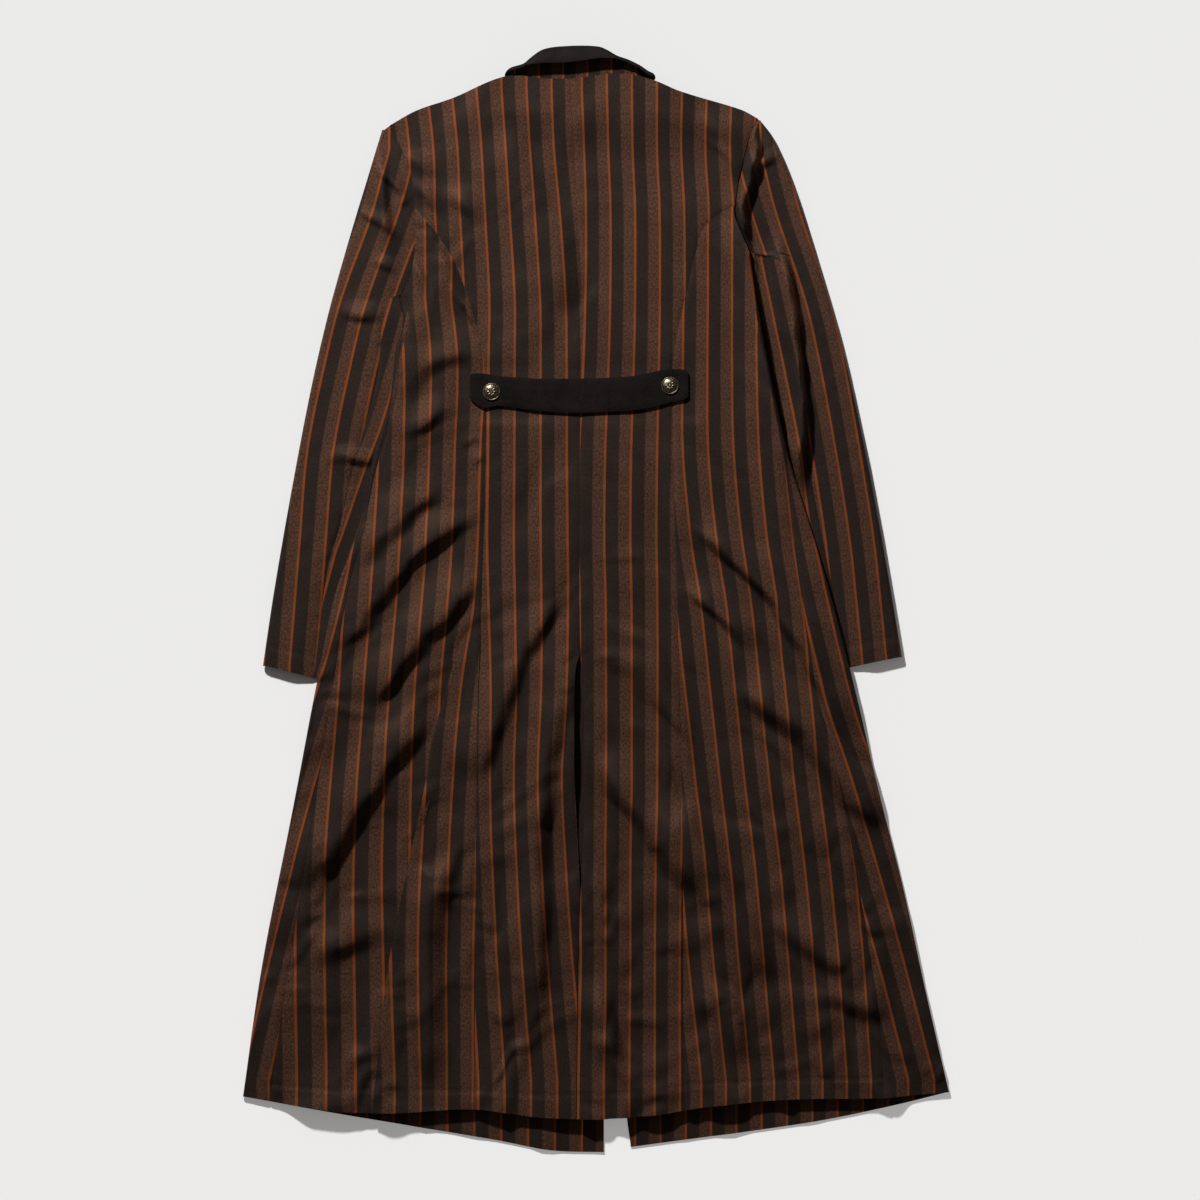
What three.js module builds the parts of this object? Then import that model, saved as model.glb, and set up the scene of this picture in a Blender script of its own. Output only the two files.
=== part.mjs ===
// A long striped hussar coat laid flat on its front, with its back up.
//
// Units are millimetres. +X is to the right of the laid coat, +Y runs up to the collar and +Z is
// up from the surface that the coat lies on. The origin is on that surface, in the middle of the
// coat's outline. Each piece of cloth is a wall that lies on the ones below it, as in the real
// coat: sleeves first, then the two fronts, then the back, the half belt and its buttons.
import * as THREE from "three";

// Driving dimensions
const CLOTH = 1.5; // wall of each piece of cloth
const GAP = 0.3; // between two pieces at a seam, and between two that lie on each other
const LAYER = CLOTH + GAP; // one more piece in the stack
const LOFT = 1.0; // air between the upper and lower layer of a sleeve or of the body
const BELT_WALL = 2.4; // the half belt is two layers pressed together
const BUTTON_RADIUS = 10;
const BUTTON_HEIGHT = 5.5;

const WHOLE_ROWS = 24; // rows of a back panel, shoulder to hem
const ARMHOLE_ROWS = 4; // of them, those beside the armhole
const SIDE_COLUMNS = 5; // columns of a side back panel, along the armhole under the arm
const SLEEVE_ROWS = 18; // rows of a sleeve, shoulder to cuff
const BEND_STEPS = 3; // facets round an edge where the cloth turns under

const RIDE_HEIGHT = 2 * LAYER + LOFT; // the body rides this high over a sleeve
const RIDE_MARGIN = 6; // from this far inside the sleeve's hidden edge
const RIDE_SLOPE = 30; // it comes down again in this distance
const NECK_LIFT = 10; // the collar's front ends lift the back at the neck by this
const VENT_CENTRE = -20; // X of the middle of the vent's underlap
const NECK_CENTRE = -18; // X of the middle of the neck

// Names the columns of a table, so that a row reads { y: 597, x: -29 }.
function table(names, rows) {
  return rows.map((row) => Object.fromEntries(names.map((name, i) => [name, row[i]])));
}

// Seams and edges as seen from above: place across the coat (x) for a height up the coat (y).
const seam = (rows) => table(["y", "x"], rows);

const CENTRE_SEAM = seam([[597, -29], [459, -22], [344, -17], [217, -18], [-1, -19], [-63, -18]]);
const VENT_TOP = -63;

const LEFT = {
  name: "left",
  sign: -1,
  armhole: seam([[544, -237], [521, -225], [496, -214], [466, -209], [424, -207], [378, -212],
    [346, -226]]),
  princessTop: 450,
  princess: seam([[450, -208], [407, -174], [384, -161], [355, -150], [286, -131], [217, -126],
    [68, -129], [-148, -136], [-483, -139], [-586, -140]]),
  backEdge: seam([[-63, -18], [-100, -24], [-155, -25], [-200, -26], [-263, -22], [-340, -18.5],
    [-415, -21], [-596, -23]]),
  bodyEdge: seam([[346, -226], [319, -221], [286, -230], [229, -237], [161, -256], [95, -268],
    [5, -300], [-92, -320], [-248, -350], [-421, -384], [-572, -406]]),
  sideSeam: seam([[346, -219], [319, -214], [286, -223], [229, -230], [161, -249], [114, -260],
    [83, -265], [12, -284], [-114, -304], [-286, -331], [-470, -360], [-577, -375]]),
  sleeveOuter: seam([[539, -246], [499, -258], [413, -284], [327, -308], [240, -328], [125, -350],
    [10, -370], [-77, -383]]),
  sleeveSeam: seam([[346, -240], [314, -246], [252, -252], [154, -278], [92, -292],
    [31, -309], [-91, -324]]),
  sleeveInner: seam([[349, -228], [319, -223], [286, -232], [269, -233.5], [229, -231],
    [114, -233], [-1, -254], [-101, -275]]),
  tuckTop: 285, // below this height the sleeve lies under the body
  cuffInner: -101,
  frontEdge: seam([[556, 9], [-636, 9]]),
  frontHem: table(["x", "y"], [[-406, -572], [-320, -588], [-218, -605], [-116, -622],
    [-51, -634], [9, -636]]),
  backHem: table(["x", "y"], [[-406, -572], [-301, -588], [-230, -590], [-140, -586],
    [-68, -595], [-23, -597]]),
  shoulder: table(["x", "y"], [[-237, 544], [-207, 561], [-163, 576], [-102, 600], [-59, 597],
    [-29, 597]]),
};

const RIGHT = {
  name: "right",
  sign: 1,
  armhole: seam([[552, 186], [535, 177], [498, 167], [459, 160], [443, 159], [429, 163],
    [397, 177]]),
  princessTop: 453,
  princess: seam([[453, 160], [442, 140], [427, 124], [401, 115], [361, 106], [286, 90],
    [217, 88], [41, 92], [-182, 98], [-588, 101]]),
  backEdge: seam([[-63, -18], [-116, -14], [-266, -14], [-340, -17.5], [-415, -20], [-596, -22]]),
  bodyEdge: seam([[397, 177], [332, 187], [231, 206], [159, 223], [85, 246], [5, 270],
    [-105, 298], [-220, 325], [-335, 354], [-450, 379], [-567, 406]]),
  sideSeam: seam([[397, 173], [332, 183], [231, 202], [152, 217], [45, 230], [-105, 253],
    [-185, 274], [-314, 299], [-480, 325], [-573, 331]]),
  sleeveOuter: seam([[550, 189], [528, 205], [470, 229], [384, 256], [298, 281], [183, 307],
    [68, 329], [-67, 352]]),
  sleeveSeam: seam([[392, 214], [380, 221], [344, 228], [275, 237], [154, 246], [114, 252],
    [7, 273], [-78, 292]]),
  sleeveInner: seam([[396, 181], [344, 187], [320, 190.5], [286, 192], [229, 197], [171, 202],
    [114, 210], [-1, 229], [-89, 244]]),
  tuckTop: 325,
  cuffInner: -89,
  frontEdge: seam([[556, 40], [-585, 35], [-630, 40]]),
  frontHem: table(["x", "y"], [[406, -567], [345, -582], [263, -599], [184, -611], [100, -622],
    [40, -630]]),
  backHem: table(["x", "y"], [[406, -567], [331, -573], [220, -575], [129, -583], [72, -592],
    [9, -597], [-22, -597]]),
  shoulder: table(["x", "y"], [[186, 552], [167, 562], [95, 583], [66, 595], [28, 603],
    [-29, 597]]),
};

// The largest folds of the back: ridges from one point to another, with their height at each end,
// and how wide they are to the left and right of their crest.
const FOLDS = table(["x1", "y1", "rise1", "x2", "y2", "rise2", "left", "right"], [
  [-176, -120, 1, -196, -290, 6, 22, 60],
  [-196, -290, 6, -250, -586, 9, 22, 60],
  [-205, 120, 0, -265, 35, 4, 26, 26],
  [-120, 85, 1, -230, -35, 5, 30, 26],
  [-150, 5, 2, -235, -110, 5, 30, 28],
  [-48, -5, 1, -180, -210, 5, 32, 30],
  [-218, -180, 2, -330, -300, 4, 30, 28],
  [-60, -140, 1, -62, -320, 4, 24, 24],
  [-104, 500, 1, -40, 380, 4, 30, 26],
  [120, 70, 2, 250, -70, 5, 30, 28],
  [140, 40, 1, 235, -10, 4, 24, 26],
  [60, -250, 1, 72, -560, 5, 30, 30],
  [205, -330, 1, 235, -560, 5, 32, 30],
  [150, -300, 3, 140, -570, 6, 36, 40],
  [330, -400, 2, 345, -560, 4, 30, 26],
]);

// The folds of the sleeves, in the same columns.
const SLEEVE_FOLDS = table(["x1", "y1", "rise1", "x2", "y2", "rise2", "left", "right"], [
  [-262, 470, 2, -276, 300, 4, 26, 18],
  [-305, 240, 4, -345, 20, 4, 26, 26],
  [-350, 10, 4, -352, -80, 2, 22, 22],
  [222, 440, 3, 262, 300, 4, 18, 26],
  [275, 220, 4, 318, -10, 4, 24, 24],
]);

const HALF_BELT = table(["x", "top", "bottom"], [
  [-145, 254, 236], [-141, 259, 227], [-130, 259, 220], [-112, 256, 222], [-64, 253, 216],
  [-23, 253, 214], [12, 254, 215], [43, 256, 217], [67, 261, 221], [85, 264, 226],
  [101, 262, 230], [106, 256, 236],
]);
const BUTTONS = table(["name", "x", "y"], [["left_button", -120, 238], ["right_button", 85, 245]]);

// The collar runs from one front end, round the left neck point, along the back neck, round the
// right neck point and to the other front end. Heights up the coat of its neck seam, of the
// leaf's edge and of the roll; turn is the angle that its outside faces: 90 up, -90 down. Lift
// is how far the leaf's edge stands off.
const COLLAR = table(["x", "turn", "neck", "leaf", "roll", "lift"], [
  [5, -90, 566, 572, 590, 0],
  [-40, -90, 570, 576, 592, 0],
  [-80, -90, 580, 584, 598, 0],
  [-96, -90, 589, 592, 601, 0],
  [-96, -30, 595, 597, 604, 0],
  [-96, 30, 600, 601.5, 607.5, 1],
  [-96, 90, 601.2, 605, 611, 2],
  [-83, 90, 600.8, 608.6, 615, 4],
  [-75, 90, 600, 611, 621, 8.5],
  [-64, 90, 598.6, 612.3, 629, 9],
  [-53, 90, 597.6, 612.8, 632.6, 9],
  [-38, 90, 597, 613, 634.2, 9],
  [-18, 90, 598.4, 615, 635, 9],
  [2, 90, 601.6, 618, 634, 9],
  [12, 90, 602.6, 618, 630.4, 9],
  [24, 90, 603, 616.6, 624, 5],
  [37, 90, 602.8, 612, 619, 4],
  [50, 90, 600.6, 606, 612.6, 3],
  [60, 90, 597, 599.5, 606, 1],
  [60, 30, 595.5, 598, 604, 0],
  [60, -30, 593, 595, 602, 0],
  [60, -90, 587, 590, 600, 0],
  [52, -90, 578, 582, 597, 0],
  [44, -90, 570, 576, 592, 0],
]);
const STAND_SLOPE = 0.12; // the stand rises by this share of the leaf's lift

const COLOURS = { stripedCloth: "#3b2d27", plainWool: "#26201d", brass: "#8d7b57" };

// ---------------------------------------------------------------------------------------------
// Curves and heights

// 0 before a, 1 after b and smooth between; a may be the larger one.
function smooth(a, b, value) {
  const t = THREE.MathUtils.clamp((value - a) / (b - a), 0, 1);
  return t * t * (3 - 2 * t);
}

// A smooth curve through a table: column `to` for a value of column `from`.
function along(rows, from, to, value) {
  const last = rows.length - 1;
  const down = rows[last][from] < rows[0][from];
  let i = 0;
  while (i < last - 1 && (down ? value < rows[i + 1][from] : value > rows[i + 1][from])) i += 1;
  const slope = (k) => {
    const a = rows[Math.max(k - 1, 0)];
    const b = rows[Math.min(k + 1, last)];
    return (b[to] - a[to]) / (b[from] - a[from]);
  };
  const span = rows[i + 1][from] - rows[i][from];
  const t = THREE.MathUtils.clamp((value - rows[i][from]) / span, 0, 1);
  const t2 = t * t;
  const t3 = t2 * t;
  return (2 * t3 - 3 * t2 + 1) * rows[i][to] + (t3 - 2 * t2 + t) * span * slope(i)
    + (3 * t2 - 2 * t3) * rows[i + 1][to] + (t3 - t2) * span * slope(i + 1);
}

const seamPoint = (rows, y) => ({ x: along(rows, "y", "x", y), y });
const mix = (a, b, t) => a + (b - a) * t;
const mixPoint = (a, b, t) => ({ x: mix(a.x, b.x, t), y: mix(a.y, b.y, t) });

// Points down a seam; those near its top end are closer together where `ease` is above 1.
function seamPoints(rows, top, bottom, steps, ease = 1) {
  return Array.from({ length: steps + 1 }, (_, i) =>
    seamPoint(rows, mix(top, bottom, (i / steps) ** ease)));
}

function foldHeight(folds, x, y) {
  let height = 0;
  for (const fold of folds) {
    const dx = fold.x2 - fold.x1;
    const dy = fold.y2 - fold.y1;
    const length = Math.hypot(dx, dy);
    const t = ((x - fold.x1) * dx + (y - fold.y1) * dy) / length ** 2;
    const aside = ((x - fold.x1) * dy - (y - fold.y1) * dx) / length;
    const nearest = THREE.MathUtils.clamp(t, 0, 1);
    const beyond = Math.abs(t - nearest) * length;
    const width = aside * Math.sign(-dy || 1) < 0 ? fold.left : fold.right;
    const away = Math.hypot(aside / width, beyond / 40);
    if (away < 1) {
      const crest = mix(fold.rise1, fold.rise2, nearest);
      height = Math.max(height, crest * 0.5 * (1 + Math.cos(Math.PI * away)));
    }
  }
  return height;
}

// Place across the coat at which the body has come up to its full ride.
const rideTop = (side, y) =>
  along(side.sleeveInner, "y", "x", y) - side.sign * RIDE_MARGIN;

// How far the body is raised by the sleeve that lies under its side edge.
function ride(x, y) {
  const side = x < 0 ? LEFT : RIGHT;
  const top = rideTop(side, y);
  const across = THREE.MathUtils.clamp(side.sign * (x - top) / RIDE_SLOPE + 1, 0, 1);
  const above = smooth(side.tuckTop + 60, side.tuckTop, y);
  const below = smooth(side.cuffInner - 100, side.cuffInner - 40, y);
  return RIDE_HEIGHT * across * above * below;
}

function neckLift(x, y) {
  return NECK_LIFT * smooth(500, 562, y) * smooth(170, 100, Math.abs(x - NECK_CENTRE));
}

function ventLift(x, y) {
  return LAYER * smooth(60, 30, Math.abs(x - VENT_CENTRE)) * smooth(-20, -60, y);
}

// Heights of the middle of each layer's wall.
const sleeveUnderside = () => CLOTH / 2;
const sleeveUpperSide = (x, y) => CLOTH / 2 + LAYER + LOFT + foldHeight(SLEEVE_FOLDS, x, y);
const frontLayer = (x, y) => CLOTH / 2 + ride(x, y);
const backLayer = (x, y) =>
  frontLayer(x, y) + LAYER + LOFT + neckLift(x, y) + ventLift(x, y) + foldHeight(FOLDS, x, y);

// ---------------------------------------------------------------------------------------------
// Walls

// Turns a grid of { point, normal } into a closed wall. Cells for which `isCell` is false are
// left out, and every free edge of the others is closed.
function wall(grid, thickness, isCell = () => true) {
  const positions = [];
  const indices = [];
  const columns = grid[0].length;
  const vertex = (i, j, outer) => 2 * (i * columns + j) + (outer ? 0 : 1);
  for (const row of grid) {
    for (const { point, normal } of row) {
      for (const offset of [thickness / 2, -thickness / 2]) {
        positions.push(...point.clone().addScaledVector(normal, offset).toArray());
      }
    }
  }
  const present = (i, j) =>
    i >= 0 && j >= 0 && i < grid.length - 1 && j < columns - 1 && isCell(i, j);
  const quad = (a, b, c, d) => indices.push(a, b, c, a, c, d);
  const close = ([i1, j1], [i2, j2]) =>
    quad(vertex(i1, j1, true), vertex(i1, j1, false), vertex(i2, j2, false), vertex(i2, j2, true));
  for (let i = 0; i < grid.length - 1; i += 1) {
    for (let j = 0; j < columns - 1; j += 1) {
      if (!present(i, j)) continue;
      const corners = [[i, j], [i + 1, j], [i + 1, j + 1], [i, j + 1]];
      const [a, b, c, d] = corners.map(([row, column]) => vertex(row, column, true));
      const [below, beside, across, past] = corners.map(([row, column]) =>
        vertex(row, column, false));
      quad(a, b, c, d);
      quad(across, beside, below, past); // split along the same diagonal as the face above it
      if (!present(i, j - 1)) close(corners[0], corners[1]);
      if (!present(i + 1, j)) close(corners[1], corners[2]);
      if (!present(i, j + 1)) close(corners[2], corners[3]);
      if (!present(i - 1, j)) close(corners[3], corners[0]);
    }
  }
  return closedGeometry(positions, indices);
}

// Keeps the vertices that are used, and turns the faces out if the grid ran the other way.
function closedGeometry(positions, indices) {
  const kept = new Map();
  const compact = [];
  let turned = indices.map((old) => {
    if (!kept.has(old)) {
      kept.set(old, compact.length / 3);
      compact.push(positions[3 * old], positions[3 * old + 1], positions[3 * old + 2]);
    }
    return kept.get(old);
  });
  const corner = (k) => new THREE.Vector3().fromArray(compact, 3 * turned[k]);
  let volume = 0;
  for (let k = 0; k < turned.length; k += 3) {
    volume += corner(k).dot(corner(k + 1).cross(corner(k + 2)));
  }
  if (volume < 0) turned = turned.map((_, k) => turned[k - (k % 3) + ((3 - (k % 3)) % 3)]);
  const geometry = new THREE.BufferGeometry();
  geometry.setAttribute("position", new THREE.Float32BufferAttribute(compact, 3));
  geometry.setIndex(turned);
  return geometry;
}

const coat = new THREE.Group();
coat.name = "hussar_coat";

function addPiece(name, geometry, colour, metalness = 0) {
  const roughness = metalness ? 0.35 : 0.85;
  const mesh = new THREE.Mesh(
    geometry, new THREE.MeshStandardMaterial({ color: colour, roughness, metalness }));
  mesh.name = name;
  coat.add(mesh);
  return mesh;
}

const UP = new THREE.Vector3(0, 0, 1);
const flatCell = (point, height) => ({
  point: new THREE.Vector3(point.x, point.y, height(point.x, point.y)), normal: UP,
});

// Draws the edges of a panel in by half a seam gap: its first column is the outer one, and its
// first row is the top one.
function drawIn(points, side) {
  const half = GAP / 2;
  return points.map((row, i) => row.map(({ x, y }, j) => ({
    x: x + side.sign * ((j === row.length - 1 ? half : 0) - (j === 0 ? half : 0)),
    y: y + (i === points.length - 1 ? half : 0) - (i === 0 ? half : 0),
  })));
}

// Shares of the way across a row at which its columns stand.
const evenColumns = (columns) => () =>
  Array.from({ length: columns + 1 }, (_, j) => j / columns);

// Five columns for a row that starts above a sleeve: three of them where the ride begins, is
// half way down and ends, so that each layer bends at the same places.
const rideColumns = (side) => (start, end) => {
  const width = Math.abs(end.x - start.x);
  const top = THREE.MathUtils.clamp(
    (rideTop(side, start.y) - start.x) / (end.x - start.x), 0.06, 0.5);
  const foot = Math.min(top + RIDE_SLOPE / width, 0.8);
  return [0, top, (top + foot) / 2, foot, (foot + 1) / 2, 1];
};

// Fills a panel between two lists of edge points with straight rows, then bends the first rows
// to the top edge and the last ones to the bottom edge. An edge gives a point for a share of the
// way across and a column's number.
function fillPanel(outer, inner, columnsOf, topEdge, bottomEdge) {
  const last = outer.length - 1;
  const shares = outer.map((start, i) => columnsOf(start, inner[i]));
  return outer.map((start, i) => shares[i].map((u, j) => {
    const point = mixPoint(start, inner[i], u);
    const v = i / last;
    for (const [edge, row, weight] of [[topEdge, 0, (1 - v) ** 4], [bottomEdge, last, v ** 4]]) {
      const straight = mixPoint(outer[row], inner[row], shares[row][j]);
      const target = edge(shares[row][j], j);
      point.x += weight * (target.x - straight.x);
      point.y += weight * (target.y - straight.y);
    }
    return point;
  }));
}

// A curve of a table { x, y } between two places across the coat.
const edgeBetween = (rows, from, to) => (u) => {
  const x = mix(from, to, u);
  return { x, y: along(rows, "x", "y", x) };
};

// ---------------------------------------------------------------------------------------------
// The points that the pieces of one side share

function sharedPoints(side) {
  const top = side.armhole[0].y;
  const armhole = [
    ...seamPoints(side.armhole, top, side.princessTop, ARMHOLE_ROWS),
    ...seamPoints(side.armhole, side.princessTop, side.armhole.at(-1).y, SIDE_COLUMNS).slice(1),
  ];
  const princessRows = WHOLE_ROWS - ARMHOLE_ROWS;
  const ease = 1.25;
  const princess = seamPoints(
    side.princess, side.princessTop, side.princess.at(-1).y, princessRows, ease);
  princess[0] = armhole[ARMHOLE_ROWS];
  return {
    armhole,
    princess,
    sideSeam: seamPoints(
      side.sideSeam, side.sideSeam[0].y, side.sideSeam.at(-1).y, princessRows),
    bodyEdge: seamPoints(
      side.bodyEdge, side.bodyEdge[0].y, side.bodyEdge.at(-1).y, princessRows),
  };
}

// ---------------------------------------------------------------------------------------------
// Back

// Points down one edge, level with those of another.
function levelWith(points, top, bottom, pointAt) {
  const first = points[0].y;
  const span = points.at(-1).y - first;
  return points.map(({ y }) => pointAt(mix(top, bottom, (y - first) / span)));
}

function buildBack(side, shared) {
  const outer = [...shared.armhole.slice(0, ARMHOLE_ROWS), ...shared.princess];
  const inner = levelWith(outer, CENTRE_SEAM[0].y, side.backEdge.at(-1).y, (y) =>
    seamPoint(y > VENT_TOP ? CENTRE_SEAM : side.backEdge, y));
  const points = fillPanel(
    outer, inner, evenColumns(6),
    edgeBetween(side.shoulder, outer[0].x, inner[0].x),
    edgeBetween(side.backHem, outer.at(-1).x, inner.at(-1).x));
  const grid = drawIn(points, side).map((row) => row.map((point) => flatCell(point, backLayer)));
  addPiece(`${side.name}_back`, wall(grid, CLOTH), COLOURS.stripedCloth);
}

function buildSideBack(side, shared) {
  const underarm = [...shared.armhole.slice(ARMHOLE_ROWS, -1), shared.sideSeam[0]].reverse();
  const hem = edgeBetween(side.backHem, shared.sideSeam.at(-1).x, shared.princess.at(-1).x);
  const points = fillPanel(
    shared.sideSeam, shared.princess, rideColumns(side), (_, j) => underarm[j], hem);
  const grid = drawIn(points, side).map((row) => row.map((point) => flatCell(point, backLayer)));
  addPiece(`${side.name}_side_back`, wall(grid, CLOTH), COLOURS.stripedCloth);
}

function buildVentUnderlap() {
  const halfWidth = 19;
  const rows = 9;
  const hem = -592;
  const lies = (x, y) => backLayer(x, y) - LAYER - foldHeight(FOLDS, x, y) - LOFT / 2;
  const grid = Array.from({ length: rows + 1 }, (_, i) => {
    const y = mix(VENT_TOP, hem, i / rows);
    return [-halfWidth, 0, halfWidth].map((off) =>
      flatCell({ x: VENT_CENTRE + off, y }, lies));
  });
  addPiece("vent_underlap", wall(grid, CLOTH), COLOURS.stripedCloth);
}

// ---------------------------------------------------------------------------------------------
// Pieces that turn under at an edge

// One row: from `start` over the upper layer to `edge`, round it, and under to `end`. The edge
// faces -X or +X by its sign.
function turnedRow(sign, start, edge, end, upper, lower, upperColumns, lowerShares) {
  const outward = new THREE.Vector3(sign, 0, 0);
  const high = upper(edge.x, edge.y);
  const low = lower(edge.x, edge.y);
  const radius = (high - low) / 2;
  const reach = radius + CLOTH / 2;
  const centre = new THREE.Vector3(edge.x, edge.y, (high + low) / 2)
    .addScaledVector(outward, -reach);
  const row = [];
  for (let j = 0; j < upperColumns; j += 1) {
    row.push(flatCell(mixPoint(start, centre, j / upperColumns), upper));
  }
  for (let j = 0; j <= BEND_STEPS; j += 1) {
    const angle = Math.PI * (0.5 - j / BEND_STEPS);
    const normal = outward.clone().multiplyScalar(Math.cos(angle))
      .addScaledVector(UP, Math.sin(angle)).normalize();
    row.push({ point: centre.clone().addScaledVector(normal, radius), normal });
  }
  for (const share of lowerShares(centre, end).slice(1)) {
    const cell = flatCell(mixPoint(centre, end, share), lower);
    row.push({ point: cell.point, normal: new THREE.Vector3(0, 0, -1) });
  }
  return row;
}

function buildFront(side, shared) {
  const upperColumns = 2;
  const underarm = shared.armhole.length - 1;
  const edges = [...shared.armhole.slice(0, underarm), ...shared.bodyEdge];
  const frontEdge = levelWith(edges, side.frontEdge[0].y, side.frontEdge.at(-1).y, (y) =>
    seamPoint(side.frontEdge, y));
  const neck = { ...side.shoulder.find(({ y }) => y >= 595), y: 594 };
  const grid = edges.map((edge, i) => {
    const start = shared.sideSeam[Math.max(i - underarm, 0)];
    const row = turnedRow(
      side.sign, { x: start.x + side.sign * GAP, y: start.y }, edge, frontEdge[i],
      backLayer, frontLayer, upperColumns, rideColumns(side));
    const weightTop = (1 - i / (edges.length - 1)) ** 6;
    const weightHem = (i / (edges.length - 1)) ** 6;
    const lowerStart = upperColumns + BEND_STEPS;
    for (let j = lowerStart + 1; j < row.length - 1; j += 1) {
      const { point } = row[j];
      const u = (point.x - row[lowerStart].point.x) / (frontEdge[i].x - row[lowerStart].point.x);
      const bent = u < 0.5 ? mix(edges[0].y, neck.y, u / 0.5)
        : mix(neck.y, frontEdge[0].y, (u - 0.5) / 0.5);
      const hemX = mix(edges.at(-1).x, frontEdge.at(-1).x, u);
      const hemLine = mix(edges.at(-1).y, frontEdge.at(-1).y, u);
      point.y += weightTop * (bent - mix(edges[0].y, frontEdge[0].y, u));
      point.y += weightHem * (along(side.frontHem, "x", "y", hemX) - hemLine);
      point.z = frontLayer(point.x, point.y);
    }
    return row;
  });
  const isCell = (i, j) => i >= underarm || j >= upperColumns + BEND_STEPS;
  addPiece(`${side.name}_front`, wall(grid, CLOTH, isCell), COLOURS.stripedCloth);
}

function buildSleeve(side, shared) {
  const capRows = shared.armhole.length - 1;
  const below = SLEEVE_ROWS - capRows;
  const backSeam = [
    ...shared.armhole.slice(0, capRows),
    ...seamPoints(side.sleeveSeam, side.sleeveSeam[0].y, side.sleeveSeam.at(-1).y, below),
  ];
  const outer = levelWith(
    backSeam, side.sleeveOuter[0].y, side.sleeveOuter.at(-1).y, (y) =>
      seamPoint(side.sleeveOuter, y));
  const inner = seamPoints(
    side.sleeveInner, side.sleeveInner[0].y, side.sleeveInner.at(-1).y, below);
  const hiddenSeam = 0.6; // as far under the back seam as this share of the under sleeve
  const outward = ({ x, y }) => ({ x: x + side.sign * 2 * GAP, y });
  const hidden = inner.map((point, k) => mixPoint(point, backSeam[k + capRows], hiddenSeam));

  const topGrid = outer.map((edge, i) => {
    const start = outward(backSeam[i]);
    const end = i < capRows ? start : outward(hidden[i - capRows]);
    return turnedRow(
      side.sign, start, edge, end, sleeveUpperSide, sleeveUnderside, 4, evenColumns(4));
  });
  addPiece(`${side.name}_top_sleeve`, wall(topGrid, CLOTH), COLOURS.stripedCloth);

  const underGrid = inner.map((edge, k) => turnedRow(
    -side.sign, backSeam[k + capRows], edge, hidden[k],
    sleeveUpperSide, sleeveUnderside, 3, evenColumns(2)));
  addPiece(`${side.name}_under_sleeve`, wall(underGrid, CLOTH), COLOURS.stripedCloth);
}

// ---------------------------------------------------------------------------------------------
// Collar

const COLLAR_LAYER = CLOTH + 0.8; // its pieces lie a little further apart, round its bends
const STAND_FRONT_HEIGHT = CLOTH / 2 + LAYER + 2 * COLLAR_LAYER; // at the front, under the back
const STAND_BACK_HEIGHT = CLOTH / 2 + LAYER + LOFT + NECK_LIFT; // and level with the back panels

// A point of the collar: `rise` layers off the stand, at a height up the coat.
function collarCell(row, y, rise, lift) {
  const angle = THREE.MathUtils.degToRad(row.turn);
  const outward = new THREE.Vector3(
    Math.cos(angle) * Math.sign(row.x - NECK_CENTRE), 0, Math.sin(angle));
  const middle = (STAND_BACK_HEIGHT + STAND_FRONT_HEIGHT) / 2;
  const radius = (STAND_BACK_HEIGHT - STAND_FRONT_HEIGHT) / 2;
  const point = new THREE.Vector3(row.x, y, middle).addScaledVector(outward, radius);
  return { point: point.addScaledVector(outward, rise * COLLAR_LAYER + lift), normal: outward };
}

function buildCollar() {
  const steps = 3;
  const rollRadius = 1.5 * COLLAR_LAYER;
  const standLift = (row, share) => row.lift * STAND_SLOPE * share;
  const leafLift = (row, share) => row.lift * (1 - (1 - STAND_SLOPE) * (1 - share) ** 2);
  const rollOf = (row) => row.roll - rollRadius - CLOTH / 2;
  const shares = Array.from({ length: steps + 1 }, (_, i) => i / steps);

  const standGrid = COLLAR.map((row) => shares.map((t) =>
    collarCell(row, mix(row.neck, rollOf(row), t), 0, standLift(row, t))));
  addPiece("collar_stand", wall(standGrid, CLOTH), COLOURS.stripedCloth);

  const underGrid = COLLAR.map((row) => shares.map((t) =>
    collarCell(row, mix(rollOf(row), row.leaf, t), 1, leafLift(row, t))));
  addPiece("under_collar", wall(underGrid, CLOTH), COLOURS.stripedCloth);

  const rim = 1.2; // the under collar shows past the top collar by this
  const topGrid = COLLAR.map((row) => {
    const leaf = shares.slice(1).reverse().map((t) =>
      collarCell(row, mix(rollOf(row), row.leaf + rim, t), 2, leafLift(row, t)));
    const inside = shares.slice(1).map((t) =>
      collarCell(row, mix(rollOf(row), row.neck, t), -1, standLift(row, 1 - t)));
    const bend = Array.from({ length: BEND_STEPS + 1 }, (_, i) => {
      const angle = Math.PI * (0.5 - i / BEND_STEPS);
      const across = collarCell(row, rollOf(row), 0.5, standLift(row, 1));
      const normal = new THREE.Vector3(0, Math.cos(angle), 0)
        .addScaledVector(across.normal, Math.sin(angle));
      return { point: across.point.addScaledVector(normal, rollRadius), normal };
    });
    const flip = ({ point, normal }) => ({ point, normal: normal.clone().negate() });
    return [...leaf, ...bend, ...inside.map(flip)];
  });
  addPiece("top_collar", wall(topGrid, CLOTH), COLOURS.plainWool);
}

// ---------------------------------------------------------------------------------------------
// Half belt and buttons

const beltHeight = (x, y) => backLayer(x, y) + CLOTH / 2 + GAP + BELT_WALL / 2;

function buildHalfBelt() {
  const rows = 3;
  const grid = HALF_BELT.map(({ x, top, bottom }) =>
    Array.from({ length: rows + 1 }, (_, j) =>
      flatCell({ x, y: mix(top, bottom, j / rows) }, beltHeight)));
  addPiece("half_belt", wall(grid, BELT_WALL), COLOURS.plainWool);
}

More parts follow.
